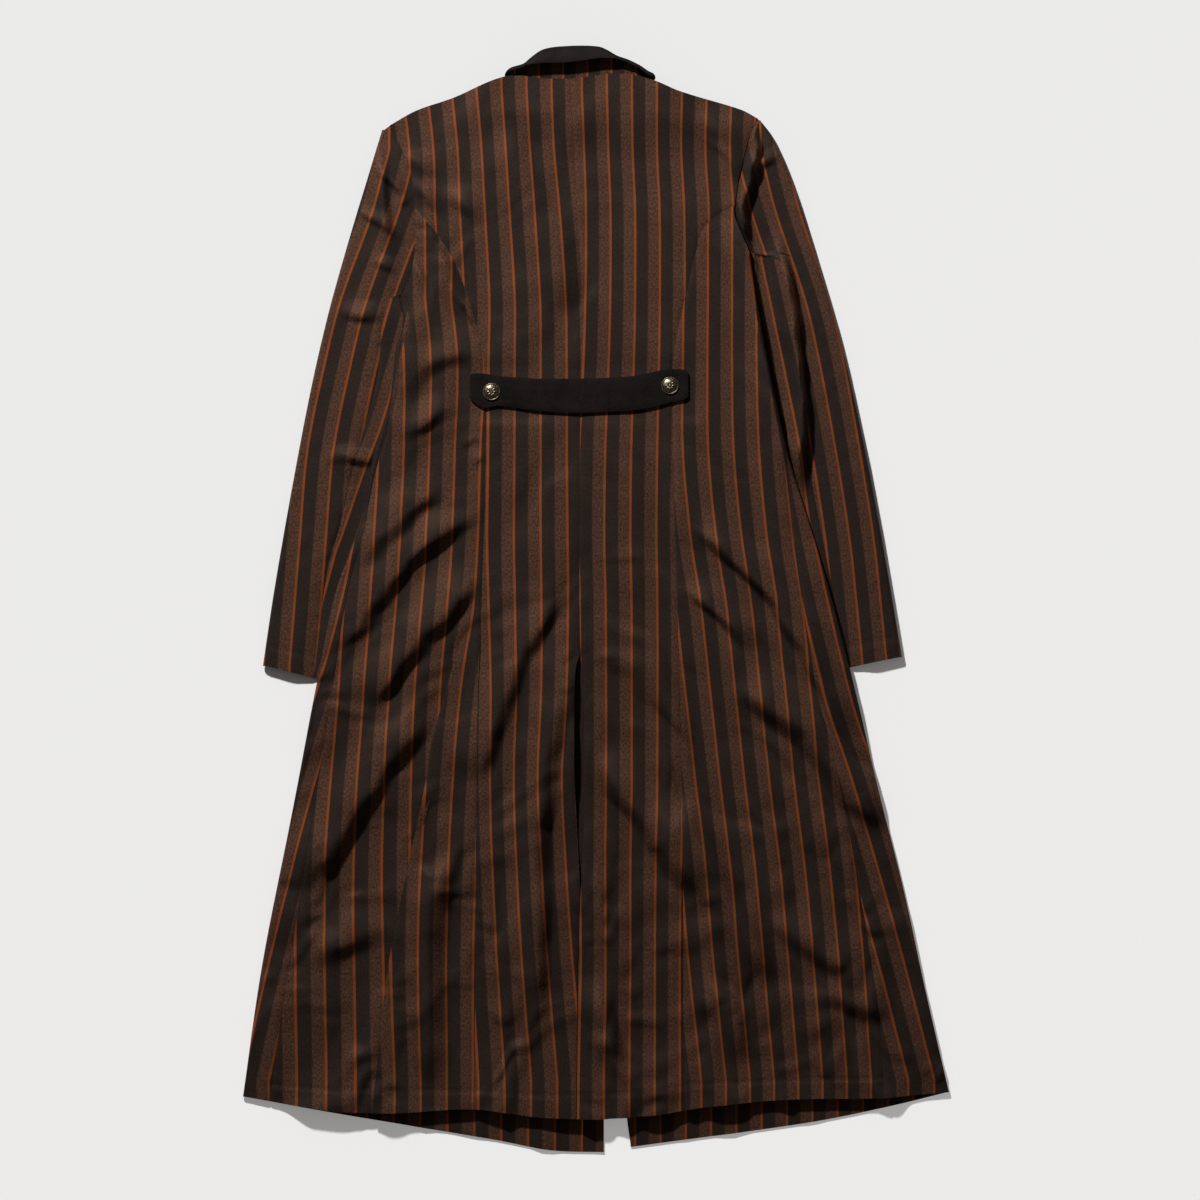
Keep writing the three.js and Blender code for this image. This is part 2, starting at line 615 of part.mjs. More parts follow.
function buildButtons() {
  const segments = 20;
  const profile = table(["radius", "height"], [
    [0, 0], [0.7, 0], [0.95, 0.15], [1, 0.3], [0.97, 0.42], [0.86, 0.46], [0.78, 0.55],
    [0.6, 0.8], [0.3, 0.96], [0, 1],
  ]).map(({ radius, height }) =>
    new THREE.Vector2(radius * BUTTON_RADIUS, height * BUTTON_HEIGHT));
  for (const { name, x, y } of BUTTONS) {
    const geometry = new THREE.LatheGeometry(profile, segments);
    geometry.rotateX(Math.PI / 2);
    const mesh = addPiece(name, geometry, COLOURS.brass, 0.9);
    mesh.position.set(x, y, beltHeight(x, y) + BELT_WALL / 2 + GAP);
  }
}

// ---------------------------------------------------------------------------------------------

for (const side of [LEFT, RIGHT]) {
  const shared = sharedPoints(side);
  buildBack(side, shared);
  buildSideBack(side, shared);
  buildFront(side, shared);
  buildSleeve(side, shared);
}
buildVentUnderlap();
buildCollar();
buildHalfBelt();
buildButtons();

export default coat;
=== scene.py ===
# %% [markdown]
# # A striped hussar coat, laid out with its back up
# The coat is made the way a tailor makes it: two back panels, two side panels, two fronts that
# wrap round to the back, sleeves of two pieces each, a collar of three, and a half belt with two
# buttons. Each of them is its own piece of cloth here. All numbers are millimetres until a mesh is
# made, X runs across the coat, Y up to the collar and Z up from the table.

# %% The frame
import math

import bpy
import numpy as np
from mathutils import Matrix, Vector


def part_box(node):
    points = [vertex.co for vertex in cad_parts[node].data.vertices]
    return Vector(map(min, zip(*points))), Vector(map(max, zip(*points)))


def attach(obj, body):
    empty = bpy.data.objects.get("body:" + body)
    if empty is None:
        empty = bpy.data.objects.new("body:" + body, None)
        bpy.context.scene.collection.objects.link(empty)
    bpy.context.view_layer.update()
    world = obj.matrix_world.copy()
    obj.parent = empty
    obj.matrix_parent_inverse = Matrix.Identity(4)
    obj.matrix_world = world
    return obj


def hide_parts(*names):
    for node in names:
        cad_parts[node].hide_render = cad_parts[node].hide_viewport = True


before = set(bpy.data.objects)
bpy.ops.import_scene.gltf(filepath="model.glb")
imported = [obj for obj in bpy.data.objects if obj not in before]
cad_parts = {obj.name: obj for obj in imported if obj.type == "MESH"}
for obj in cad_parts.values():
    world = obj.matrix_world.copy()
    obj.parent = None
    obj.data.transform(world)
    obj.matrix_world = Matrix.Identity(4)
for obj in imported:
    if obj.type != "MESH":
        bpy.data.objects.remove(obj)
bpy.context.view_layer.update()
MM = 0.001
print("pieces in the frame:", len(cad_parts))

# %% [markdown]
# ## Curves
# A seam is drawn once, as a short table of places that it passes through, and every panel that
# meets there takes its edge from the same table. That is why the panels close without gaps.

# %% Smooth curves through tables


def along(rows, value, column=1):
    """A smooth curve through a table: its first column says where, another one how much."""
    rows = np.array(rows, float)
    if rows[0, 0] > rows[-1, 0]:
        rows = rows[::-1]
    x, y = rows[:, 0], rows[:, column]
    slope = np.gradient(y, x)
    slope[1:-1] = (y[2:] - y[:-2]) / (x[2:] - x[:-2])
    value = np.asarray(value, float)
    i = np.clip(np.searchsorted(x, value) - 1, 0, len(x) - 2)
    span = x[i + 1] - x[i]
    t = np.clip((value - x[i]) / span, 0, 1)
    return ((2 * t**3 - 3 * t**2 + 1) * y[i] + (t**3 - 2 * t**2 + t) * span * slope[i]
            + (3 * t**2 - 2 * t**3) * y[i + 1] + (t**3 - t**2) * span * slope[i + 1])


def smooth(a, b, value):
    """0 before a, 1 after b and soft between; a may be the larger one."""
    t = np.clip((value - a) / (b - a), 0, 1)
    return t * t * (3 - 2 * t)


def mix(a, b, t):
    return a + (b - a) * t


def ends(table):
    """Where a table's first column starts, and where it ends."""
    return table[0][0], table[-1][0]


print("a curve through 0, 10 and 0, halfway down:", along([(0, 0), (10, 10), (20, 0)], 15.0))

# %% [markdown]
# ## The cut of the coat
# Each side has its armhole, its princess seam (the long shaping seam over the shoulder blade), its
# side seam, the edge where the front's cloth turns under, and its sleeve. The rows are height up
# the coat and place across it; for hems and shoulders they are place across and height. The gap is
# how far the sleeve's cloth stays down beside the body, and between tuck_top and cuff_inner the
# body lies over the sleeve.

# %% Seams and edges of both sides
CENTRE_SEAM = [(597, -29), (459, -22), (344, -17), (217, -18), (-1, -19), (-63, -18)]
VENT_TOP = -63
LEFT = dict(
    name="left", sign=-1,
    armhole=[(544, -237), (521, -225), (496, -214), (466, -209), (424, -207), (378, -212),
             (346, -226)],
    princess=[(450, -208), (407, -174), (384, -161), (355, -150), (286, -131), (217, -126),
              (68, -129), (-148, -136), (-483, -139), (-586, -140)],
    back_edge=[(-63, -18), (-75, -22.5), (-100, -25), (-155, -25), (-200, -25), (-263, -22),
               (-340, -18.5), (-415, -21), (-596, -23)],
    body_edge=[(346, -226), (319, -221), (286, -230), (229, -237), (161, -256), (95, -268),
               (5, -300), (-92, -320), (-248, -350), (-421, -384), (-572, -406)],
    side_seam=[(346, -225), (338, -220), (319, -214), (286, -223), (229, -230), (161, -249),
               (114, -260), (83, -265), (12, -284), (-114, -304), (-286, -331), (-470, -360),
               (-577, -375)],
    sleeve_outer=[(539, -246), (499, -258), (413, -284), (327, -308), (240, -328), (125, -350),
                  (10, -370), (-77, -383)],
    sleeve_seam=[(346, -240), (314, -246), (252, -252), (154, -278), (92, -292), (31, -309),
                 (-91, -324)],
    sleeve_inner=[(347, -225.2), (333, -222.2), (319, -220.2), (302, -223.6), (290, -227.4),
                  (269, -228.5), (229, -229), (114, -233), (-1, -254), (-101, -275)],
    gap=[(600, 0), (-600, 0)],
    tuck_top=285, cuff_inner=-101,
    front_edge=[(556, 9), (-636, 9)],
    front_hem=[(-406, -572), (-320, -588), (-218, -605), (-116, -622), (-51, -634), (9, -636)],
    back_hem=[(-406, -572), (-301, -588), (-230, -590), (-140, -586), (-68, -595), (-23, -597)],
    shoulder=[(-237, 544), (-207, 561), (-163, 576), (-102, 600), (-59, 597), (-29, 597)],
    neck=(-102, 594),
)
RIGHT = dict(
    name="right", sign=1,
    armhole=[(552, 186), (535, 177), (498, 167), (459, 160), (443, 159), (429, 163), (397, 177)],
    princess=[(453, 160), (442, 140), (427, 124), (401, 115), (361, 106), (286, 90), (217, 88),
              (41, 92), (-182, 98), (-588, 101)],
    back_edge=[(-63, -18), (-116, -14), (-266, -14), (-340, -17.5), (-415, -20), (-596, -22)],
    body_edge=[(397, 177), (332, 187), (231, 206), (159, 223), (85, 246), (5, 270), (-105, 298),
               (-220, 325), (-335, 354), (-450, 379), (-567, 406)],
    side_seam=[(397, 176.4), (390, 173.8), (332, 183), (231, 202), (152, 217), (45, 230),
               (-105, 253), (-185, 274), (-314, 299), (-480, 325), (-573, 331)],
    sleeve_outer=[(550, 189), (528, 205), (470, 229), (384, 256), (298, 281), (183, 307),
                  (68, 329), (-67, 352)],
    sleeve_seam=[(397, 181), (395, 193), (391.5, 204), (386, 212), (379, 218), (366, 223),
                 (344, 228), (275, 237), (154, 246), (114, 252), (7, 273), (-78, 292)],
    sleeve_inner=[(397, 176.4), (370, 179.6), (344, 184.2), (332, 186), (320, 187.4),
                  (286, 190.5), (229, 197), (171, 202), (114, 210), (-1, 229), (-89, 244)],
    gap=[(600, 0), (448, 0), (425, 8), (390, 16), (330, 19), (290, 16), (240, 10), (200, 5),
         (130, 3), (0, 0), (-600, 0)],
    tuck_top=325, cuff_inner=-89,
    front_edge=[(556, 40), (-585, 35), (-630, 40)],
    front_hem=[(406, -567), (345, -582), (263, -599), (184, -611), (100, -622), (40, -630)],
    back_hem=[(406, -567), (331, -573), (220, -575), (129, -583), (72, -592), (9, -597),
              (-22, -597)],
    shoulder=[(186, 552), (167, 562), (95, 583), (66, 595), (28, 603), (-29, 597)],
    neck=(66, 594),
)
print("from the left front's hem to its shoulder:",
      LEFT["shoulder"][3][1] - LEFT["front_hem"][-1][1], "mm")

# %% [markdown]
# ## How the stripes run
# The cloth is cut with its stripes down each panel, and the seams cut through them. For each panel
# one orange line was followed down the cloth: height, place of the line, and the distance to the
# next one. Stripe number u counts from that line, so a seam is where the count jumps.

# %% One orange line in each panel
PERIOD = 30
HEIGHTS = (585, 516, 447, 344, 275, 171, 68, -1, -105, -208, -312, -415, -553)


def line_down(heights, places, spacings):
    """Rows of height, place and spacing; a single spacing holds for all of them."""
    return np.column_stack(np.broadcast_arrays(heights, places, spacings))


GRAIN = {
    "left_back": line_down(
        HEIGHTS,
        (-79.8, -76, -70.7, -64.2, -63.7, -63.7, -63.6, -62.7, -62.9, -66.7, -62.6, -56.1, -44.5),
        (28.7, 27.7, 28.6, 29.2, 29.9, 30.1, 30.8, 30.5, 28.9, 27.6, 28.2, 28.9, 30.2)),
    "right_back": line_down(
        HEIGHTS[:8] + HEIGHTS[9:],
        (12.4, 14.1, 16.6, 16.3, 14.6, 10.6, 9.5, 11, 11.4, 10.5, 10.9, 9),
        (28.7, 27.9, 28.2, 28.5, 28.9, 29.8, 29.9, 29.7, 29.4, 28.9, 28.4, 29.1)),
    "right_side": line_down(
        HEIGHTS[3:], (156.4, 156.2, 158, 167.4, 177.6, 188.4, 198.9, 211.6, 220.7, 232.3),
        (27.9, 28.2, 29.2, 29.2, 29, 28.7, 28.3, 28.6, 28.7, 27.8)),
    "left_side": line_down(
        HEIGHTS[3:], (-196.3, -190, -191.6, -195.4, -199.8, -208.5, -212.6, -213.9, -211, -208.1),
        (29.9, 30.5, 29.3, 29.7, 29.7, 29.1, 30.7, 32.5, 33.6, 33.9)),
    "left_side_past_pleat": line_down(
        HEIGHTS[3:], (-136.5, -129, -133, -136, -140.9, -155.8, -164.7, -170, -172.7, -171.5),
        (29.9, 30.5, 29.3, 29.7, 29.7, 29.7, 30.6, 31.5, 31.4, 29.9)),
    "left_front": line_down(
        (346, -1) + HEIGHTS[9:], (-200, -262, -322.7, -349.8, -375.2, -405.9), 29.9),
    "right_front": line_down(
        (397, 150, -105) + HEIGHTS[9:], (175, 205, 260.1, 293.4, 324.4, 353, 388.6), 29.9),
    "left_front_inside": line_down((600, -636), -78.2, 30.9),
    "right_front_inside": line_down((600, -636), 132.3, 29.1),
    "left_top_sleeve": line_down(
        HEIGHTS[1:8] + (-76,), (-237.8, -255.9, -293, -310.6, -331.5, -340.3, -345.9, -351.9),
        29.9),
    "right_top_sleeve": line_down(
        HEIGHTS[1:8] + (-70,), (188.8, 205.6, 239.9, 256, 275.1, 291.3, 298.9, 305.9), 27.6),
    "left_under_sleeve": line_down(
        (346, 206, 144, 70, 55, -100), (-205, -244.9, -267.9, -293.2, -299, -340), 29.9),
    "right_under_sleeve": line_down((390, 206, 70, -90), (190, 228, 248, 276), 28),
    "collar": line_down((700, 500), -10, 27.8),
    # the underlap's line is placed, not followed: its charcoal stripe fills the vent's gap as
    # painted shade
    "vent": line_down((0, -600), -28.5, 29.4),
}


def stripe_count(panel, x, y):
    rows = GRAIN[panel]
    return (x - along(rows, y)) / along(rows, y, 2)


print("panels with a grain line:", len(GRAIN))

# %% [markdown]
# ## Folds
# Cloth that lies on a table keeps soft, uneven folds where it was pulled together. A fold here is a
# line down its steep side, with how high it stands, how wide the steep side is and how far the
# cloth takes to come down gently on the other side. The steep side always faces away from the
# lamp, because those are the folds that the eye picks out.

# %% The folds of the back and of the sleeves
LIGHT_FROM = (-0.5, 0.87)
FADE = 45
BODY_FOLDS = [  # height, steep side, gentle side, places down it
    (11, 9, 40, [(-162, 132), (-205, 100), (-245, 62), (-270, 22)]),
    (13, 9, 44, [(-132, 96), (-170, 70), (-214, 40), (-252, -12), (-294, -82)]),
    (16, 10, 46, [(-128, 28), (-150, 0), (-191, -47), (-225, -90), (-258, -134)]),
    (13, 10, 42, [(-25, 12), (-50, -22), (-76, -59), (-96, -105), (-114, -160), (-132, -218)]),
    (17, 11, 56, [(-184, -128), (-215, -172), (-260, -231), (-294, -285), (-330, -345)]),
    (9, 12, 40, [(-226, -380), (-280, -402), (-338, -425)]),
    (19, 16, 26, [(-160, -290), (-178, -350), (-184, -420), (-180, -500), (-170, -565)]),
    (18, 11, 38, [(-24, -76), (-38, -130), (-52, -190), (-58, -260), (-60, -350), (-62, -430),
                  (-58, -520)]),
    (2.5, 3, 14, [(-158, 168), (-141, 182), (-126, 181)]),
    (2.5, 3, 12, [(-141, 151), (-126, 163)]),
    (2.5, 3, 12, [(-20, -59), (-44, -75)]),
    (2.5, 3, 12, [(-25, -94), (-41, -112)]),
    (12, 18, 56, [(-106, 552), (-80, 500), (-53, 447), (-32, 395), (-18, 335)]),
    (7.5, 7, 20, [(-232, 512), (-200, 489), (-177, 482)]),
    (7.5, 6, 20, [(-222, 478), (-198, 462), (-176, 438)]),
    (10, 8, 24, [(-179, 473), (-159, 452), (-138, 424)]),
    (8, 7, 22, [(-195, 424), (-177, 404), (-161, 367), (-138, 323)]),
    (9, 10, 34, [(-132, 284), (-172, 272), (-222, 240)]),
    (9, 8, 28, [(-150, 214), (-186, 204), (-226, 176)]),
    (8, 8, 24, [(106, 556), (140, 532), (160, 505)]),
    (7, 4, 14, [(118, 536), (148, 510), (166, 470)]),
    (7, 4, 14, [(-205, 455), (-190, 430), (-182, 400)]),
    (6, 4, 14, [(-215, 400), (-196, 372), (-190, 345)]),
    (6, 4, 12, [(-168, 352), (-150, 330), (-136, 300)]),
    (15, 6, 36, [(97, 84), (130, 62), (166, 33), (203, -8), (235, -59), (262, -115), (284, -170)]),
    (12, 6, 30, [(92, 16), (122, -8), (154, -36), (178, -66)]),
    (18, 11, 50, [(150, -104), (205, -138), (235, -162), (262, -198), (288, -235), (330, -272)]),
    (15, 11, 40, [(-8, -184), (34, -240), (74, -289), (100, -350)]),
    (20, 13, 50, [(96, -214), (135, -290), (166, -346), (192, -395), (216, -440)]),
    (13, 13, 44, [(206, -384), (262, -418), (308, -452)]),
    (12, 13, 40, [(244, -458), (298, -474), (346, -480)]),
    (15, 9, 38, [(126, -416), (160, -470), (182, -534)]),
    (13, 9, 32, [(4, -426), (18, -480), (34, -548)]),
    (1.6, 3, 14, [(-13, 43), (87, 45)]),
    (1.6, 3, 14, [(-13, -75), (44, -68)]),
    (13, 5, 30, [(162, 490), (172, 445), (182, 410), (193, 335), (207, 270), (216, 231),
                 (229, 165), (237, 120)]),
]
SLEEVE_FOLDS = [
    (8, 6, 16, [(-245, 523), (-241, 482), (-237, 436), (-230, 408), (-221, 390)]),
    (3, 8, 22, [(-250, 160), (-234, 146), (-226, 130)]),
    (3, 8, 22, [(-310, 165), (-293, 150), (-280, 130)]),
    (5, 5, 14, [(-262, 384), (-245, 380), (-226, 374)]),
    (3, 3, 10, [(-225, 446), (-218, 452), (-211, 458)]),
    (17, 5, 18, [(180, 600), (184, 552), (188, 516), (183, 493), (178, 470), (173, 447),
                 (174, 420), (180, 380), (187, 340)]),
    (7, 4, 14, [(-262, 505), (-232, 470), (-214, 440)]),
    (7, 4, 14, [(-285, 455), (-250, 430), (-222, 402)]),
    (7, 5, 16, [(-300, 330), (-268, 322), (-240, 318)]),
    (7, 5, 16, [(-318, 160), (-270, 156), (-235, 150)]),
    (7, 5, 12, [(218, 512), (209, 507), (194, 499), (177, 488), (168, 482)]),
    (22, 6, 20, [(209, 424), (219, 392), (229, 340), (237, 270), (242, 200), (241, 110)]),
]


def ripple(x, y, length, seed, stretch=1.0):
    """Soft bumps about `length` apart, mostly between -1 and 1; stretch draws them out along Y."""
    rng = np.random.default_rng(seed)
    total = 0
    for _ in range(8):
        angle, phase = rng.uniform(0, 2 * math.pi, 2)
        size = length * rng.uniform(0.7, 1.5)
        total = total + np.sin(2 * math.pi / size * (
            x * math.cos(angle) + y * math.sin(angle) / stretch) + phase)
    return total / 4


def fold_height(folds, x, y):
    """The folds of a table added up. Each wanders a little and dies away over FADE at its ends."""
    total = np.zeros(np.shape(x))
    wander = 3 * ripple(x, y, 60, 3)
    for rise, steep, gentle, path in folds:
        path = np.array(path, float)
        steps = np.diff(path, axis=0)
        lengths = np.hypot(*steps.T)
        whole = path[-1] - path[0]
        facing = 1 if -whole[1] * LIGHT_FROM[0] + whole[0] * LIGHT_FROM[1] > 0 else -1
        nearest = np.full(np.shape(x), 1e9)
        aside = np.zeros(np.shape(x))
        place = np.zeros(np.shape(x))
        before = 0
        for (x0, y0), (dx, dy), length in zip(path, steps, lengths):
            t = np.clip(((x - x0) * dx + (y - y0) * dy) / length**2, 0, 1)
            off_x, off_y = x - x0 - t * dx, y - y0 - t * dy
            far = np.hypot(off_x, off_y)
            closer = far < nearest
            nearest = np.where(closer, far, nearest)
            side = facing * np.sign(-off_x * dy + off_y * dx)
            aside = np.where(closer, side * far, aside)
            place = np.where(closer, (before + t * length) / lengths.sum(), place)
            before += length
        aside = aside + wander
        profile = smooth(-steep, steep, aside) * smooth(gentle + steep, steep / 2, aside)
        fade = float(np.clip(FADE / lengths.sum(), 0.2, 0.5))
        total += rise * profile * smooth(0, fade, place) * smooth(1, 1 - fade, place)
    return total


print("folds:", len(BODY_FOLDS), "on the body and", len(SLEEVE_FOLDS), "on the sleeves")

# %% [markdown]
# ## Layers
# The sleeves lie lowest, and the body lies over their inner edges, so it rides up there. The
# fronts come next and the back on top. These heights are those of the frame, and the folds and
# a soft unevenness are added to them. WALL is a solid's thickness, LAYER that and a hair of air,
# and LOFT the air inside the coat.

# %% Heights of the layers
WALL = 1.5
LAYER = WALL + 0.3
LOFT = 1.0
RIDE_HEIGHT = 2 * LAYER + LOFT
RIDE_MARGIN, RIDE_SLOPE = 6, 30
NECK_LIFT, NECK_CENTRE, VENT_CENTRE = 10, -18, -20


def ride(x, y):
    """How much the body is lifted where it lies over a sleeve's inner edge."""
    lifts = []
    for side in (LEFT, RIGHT):
        top = along(side["sleeve_inner"], y) - side["sign"] * RIDE_MARGIN
        across = smooth(-1, 0, side["sign"] * (x - top) / RIDE_SLOPE)
        above = smooth(side["tuck_top"] + 60, side["tuck_top"], y)
        below = smooth(side["cuff_inner"] - 100, side["cuff_inner"] - 40, y)
        lifts.append(RIDE_HEIGHT * across * above * below)
    return np.where(x < 0, *lifts)


def front_layer(x, y):
    return WALL / 2 + ride(x, y)


def back_layer(x, y):
    neck = NECK_LIFT * smooth(500, 562, y) * smooth(170, 100, np.abs(x - NECK_CENTRE))
    vent = LAYER * smooth(60, 30, np.abs(x - VENT_CENTRE)) * smooth(-20, -60, y)
    return front_layer(x, y) + LAYER + LOFT + neck + vent


print("back above the table at the middle:", round(float(back_layer(0, 0)), 2), "mm")

# %% The relief of the back


def drape(x, y, angle, length, seed, drawn_out=3.2):
    """Soft folds that all run one way: angle is their direction, length the space between."""
    c, s = math.cos(math.radians(angle)), math.sin(math.radians(angle))
    return ripple(y * c - x * s, x * c + y * s, length, seed, drawn_out)


LEANING, CREASED, CRINKLED, FINE_CRINKLED = 4.0, 1.8, 1.5, 0.7
FLARE, RELIEF_TOP, SOFTNESS = 6, 25, 6


def body_relief(x, y):
    """How far the back's cloth stands above its layer: folds, soft drapes and small crinkles."""
    folds = fold_height(BODY_FOLDS, x, y)
    uneven = 1.2 + 0.7 * ripple(x, y, 110, 11, 1.8) + 0.45 * ripple(x, y, 38, 12, 1.5)
    skirt = mix(0.45, 1.0, smooth(120, -120, y))
    right = smooth(-70, 70, x)
    flare = FLARE * smooth(-500, -590, y) * smooth(395, 330, np.abs(x))
    at_corner = smooth(330, 372, np.abs(x)) * smooth(-545, -588, y)
    under_belt = (smooth(-172, -150, x) * smooth(128, 108, x) * smooth(196, 214, y)
                  * smooth(282, 262, y))
    # from here on places are shifted a little, so that no drape runs dead straight
    x = x + 16 * ripple(x, y, 120, 17)
    y = y + 14 * ripple(x, y, 90, 18)
    leaning = mix(drape(x, y, 52, 66, 13), drape(x, y, -58, 66, 14), right)
    creased = mix(drape(x, y, 34, 34, 15), drape(x, y, -40, 34, 16), right)
    patchy = np.clip(0.6 + 0.8 * ripple(x, y, 110, 19), 0.1, 1.3)
    crinkled = smooth(-60, -420, y) * (CRINKLED * ripple(x, y, 46, 20, 1.2)
                                       + FINE_CRINKLED * ripple(x, y, 23, 22, 1.3) * patchy)
    uneven = uneven + skirt * (LEANING * leaning + CREASED * patchy * creased) + crinkled
    relief = (folds + np.maximum(uneven, 0.2 * uneven) + 0.8 + flare) * (1 - at_corner)
    # a soft ceiling, and flat where the half belt holds it down
    relief = relief - SOFTNESS * np.log1p(np.exp((relief - RELIEF_TOP) / SOFTNESS))
    return relief * (1 - 0.9 * under_belt)


print("relief below the waist:", round(float(body_relief(50.0, -200.0)), 1), "mm")

# %% Heights of the sleeves
SLEEVE_LOFT = 4.2


def crown(side, x, y):
    """The sleeve stands up, open as a tube, away from the body that presses on it."""
    armhole, body = along(side["armhole"], y), along(side["body_edge"], y)
    edge = np.where(y > side["armhole"][-1][0], armhole, body)
    away = side["sign"] * (x - edge)
    return smooth(2, 34, away - along(side["gap"], y)), smooth(0, 5, away)


def sleeve_top(side):
    def height(x, y):
        uneven = 0.5 * ripple(x, y, 60, 21, 1.6) + 0.25 * ripple(x, y, 26, 22, 1.3)
        rounded, free = crown(side, x, y)
        folds = fold_height(SLEEVE_FOLDS, x, y)
        return WALL / 2 + LAYER + LOFT + rounded * (SLEEVE_LOFT + uneven) + free * folds
    return height


def sleeve_bottom(x, y):
    return np.full(np.shape(x), WALL / 2)


print("a sleeve's top:", round(float(sleeve_top(RIGHT)(290.0, 100.0)), 1), "mm")

# %% [markdown]
# ## Panels as grids
# A panel is a grid of rows and columns between its two long edges. Its first rows are bent to the
# top edge and its last ones to the hem. Near each seam the cloth is drawn down and puckers a
# little, and a hem is turned up and stitched, so it is thicker below its stitch line. Cells are
# 3 mm, and edges that meet are nudged a hair aside, so that no two faces lie in one place.

# %% Grids
CELL, EDGE_PULL, NUDGE = 3.0, 6, 0.15
BACK_FOOT, EDGE_FOOT = -587, -575


def edge_rows(table, rows, bottom=None):
    """Points evenly spaced down a curve, to its own end or to another height."""
    top, end = ends(table)
    y = np.linspace(top, end if bottom is None else bottom, rows + 1)
    return np.stack([along(table, y), y], -1)


def level_with(points, table, bottom=None):
    """Points down a curve that keep step with those of another edge."""
    top, end = ends(table)
    share = (points[:, 1] - points[0, 1]) / (points[-1, 1] - points[0, 1])
    y = mix(top, end if bottom is None else bottom, share)
    return np.stack([along(table, y), y], -1)


def fill(outer, inner, shares, top_edge, bottom_edge):
    """Rows between two edges: shares is (rows, columns), an edge is a curve for shares across."""
    points = mix(outer[:, None], inner[:, None], shares[..., None])
    v = np.linspace(0, 1, len(outer))[:, None, None]
    for curve, row, weight in ((top_edge, 0, (1 - v) ** EDGE_PULL),
                               (bottom_edge, -1, v**EDGE_PULL)):
        points = points + weight * (curve(shares[row]) - points[row])
    return points[..., 0], points[..., 1]


def edge_between(table, start, end):
    def curve(u):
        x = mix(start, end, u)
        return np.stack([x, along(table, x)], -1)
    return curve


print("rows of cells down the back:", round((CENTRE_SEAM[0][0] - BACK_FOOT) / CELL))

# %% Seams and hems in the cloth


def seam_dip(distance, y, seed, depth=1.0, pucker=0.5, reach=9.0, spacing=17):
    """Change of height near a seam: a narrow valley, with short puckers that lean out from it."""
    waves = ripple(0 * y, y + 0.5 * distance, spacing, seed)
    patchy = 0.65 + 0.5 * ripple(distance, y, 48, seed + 100)
    return (-depth * np.exp(-(distance / 2.4) ** 2)
            + pucker * waves * np.maximum(patchy, 0) * np.exp(-distance / reach))


def gathers(side, y):
    """The left princess seam is drawn up below the armhole."""
    return smooth(440, 400, y) * smooth(285, 310, y) if side["sign"] < 0 else 0


HEM_STITCH = [
    (-400, -556), (-307, -564), (-277, -564), (-122, -566), (-71, -570), (-7, -569), (59, -567),
    (86, -562), (113, -558), (175, -555), (240, -553), (305, -551), (356, -549), (400, -546)]


def hem_step(x, y):
    """Change of height at the hem: a stitched groove, and thicker cloth below it."""
    past = along(HEM_STITCH, x) - y
    return (0.55 * smooth(-0.5, 3, past) - 0.8 * np.exp(-(past / 1.6) ** 2)
            + 0.3 * ripple(x, y, 22, 31) * np.exp(-np.abs(past) / 7))


print("a seam's valley at its middle:", round(float(seam_dip(0.0, 0.0, 1)), 2), "mm")

# %% [markdown]
# ### Cloth from a grid
# Cloth hangs and creases as one sheet, which the primitives and their edit mode can't give, so its
# mesh is written point by point. Solidify gives it two faces, and each piece hides the solid of
# the frame that it stands for.

# %% A piece of cloth
CLOTHES = {}


def weave(name, x, y, z, u, node, keep=None, look=1, look_row=None,
          wall=1.2):
    """Makes one piece of cloth from grids in millimetres and its stripe count u. look is the column
    of a cell that faces up, to turn the rest."""
    rows, columns = x.shape
    number = np.arange(rows * columns).reshape(rows, columns)
    quads = np.stack([number[:-1, :-1], number[1:, :-1], number[1:, 1:], number[:-1, 1:]], -1)
    places = np.stack([x, y, z], -1).reshape(-1, 3)
    a, b, c, d = places[quads[rows // 2 if look_row is None else look_row, look]]
    if np.cross(c - a, d - b)[2] < 0:
        quads = quads[..., ::-1]
    quads = quads.reshape(-1, 4) if keep is None else quads[keep]
    used, quads = np.unique(quads, return_inverse=True)
    quads = quads.reshape(-1, 4)
    mesh = bpy.data.meshes.new(name)
    mesh.from_pydata((places[used] * MM).tolist(), [], quads.tolist())
    stripes = np.stack([u, y / PERIOD], -1).reshape(-1, 2)[used]
    layer = mesh.uv_layers.new(name="stripes")
    layer.data.foreach_set("uv", stripes[quads.reshape(-1)].astype(np.float32).ravel())
    piece = bpy.data.objects.new(name, mesh)
    bpy.context.scene.collection.objects.link(piece)
    bpy.ops.object.select_all(action="DESELECT")
    piece.select_set(True)
    bpy.context.view_layer.objects.active = piece
    thick = piece.modifiers.new("thickness", "SOLIDIFY")
    thick.thickness, thick.offset = wall * MM, 0
    bpy.ops.object.modifier_apply(modifier=thick.name)
    bpy.ops.object.shade_smooth_by_angle(angle=math.radians(60))
    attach(piece, "root")
    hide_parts(node)
    made = sum(p.area for p in piece.data.polygons) / 2
    print(f"{name}: {len(piece.data.polygons)} faces, {made:.4f} m2 of cloth")
    CLOTHES[node] = piece


# %% [markdown]
# ## The two back panels
# They run from the shoulder to the hem between the princess seam and the centre seam. The centre
# seam is open below the waist: this is the vent of a riding coat, so the left panel's edge lifts
# a little there.

# %% Points that the panels of a side share


def shared_edges(side):
    shoulder, seam_top = side["armhole"][0][0], side["princess"][0][0]
    cap = edge_rows(side["armhole"], round((shoulder - seam_top) / CELL), seam_top)
    return cap, edge_rows(side["princess"], round((seam_top - BACK_FOOT) / CELL))


print("points down a princess seam:", len(shared_edges(LEFT)[1]))

# %% The back panels


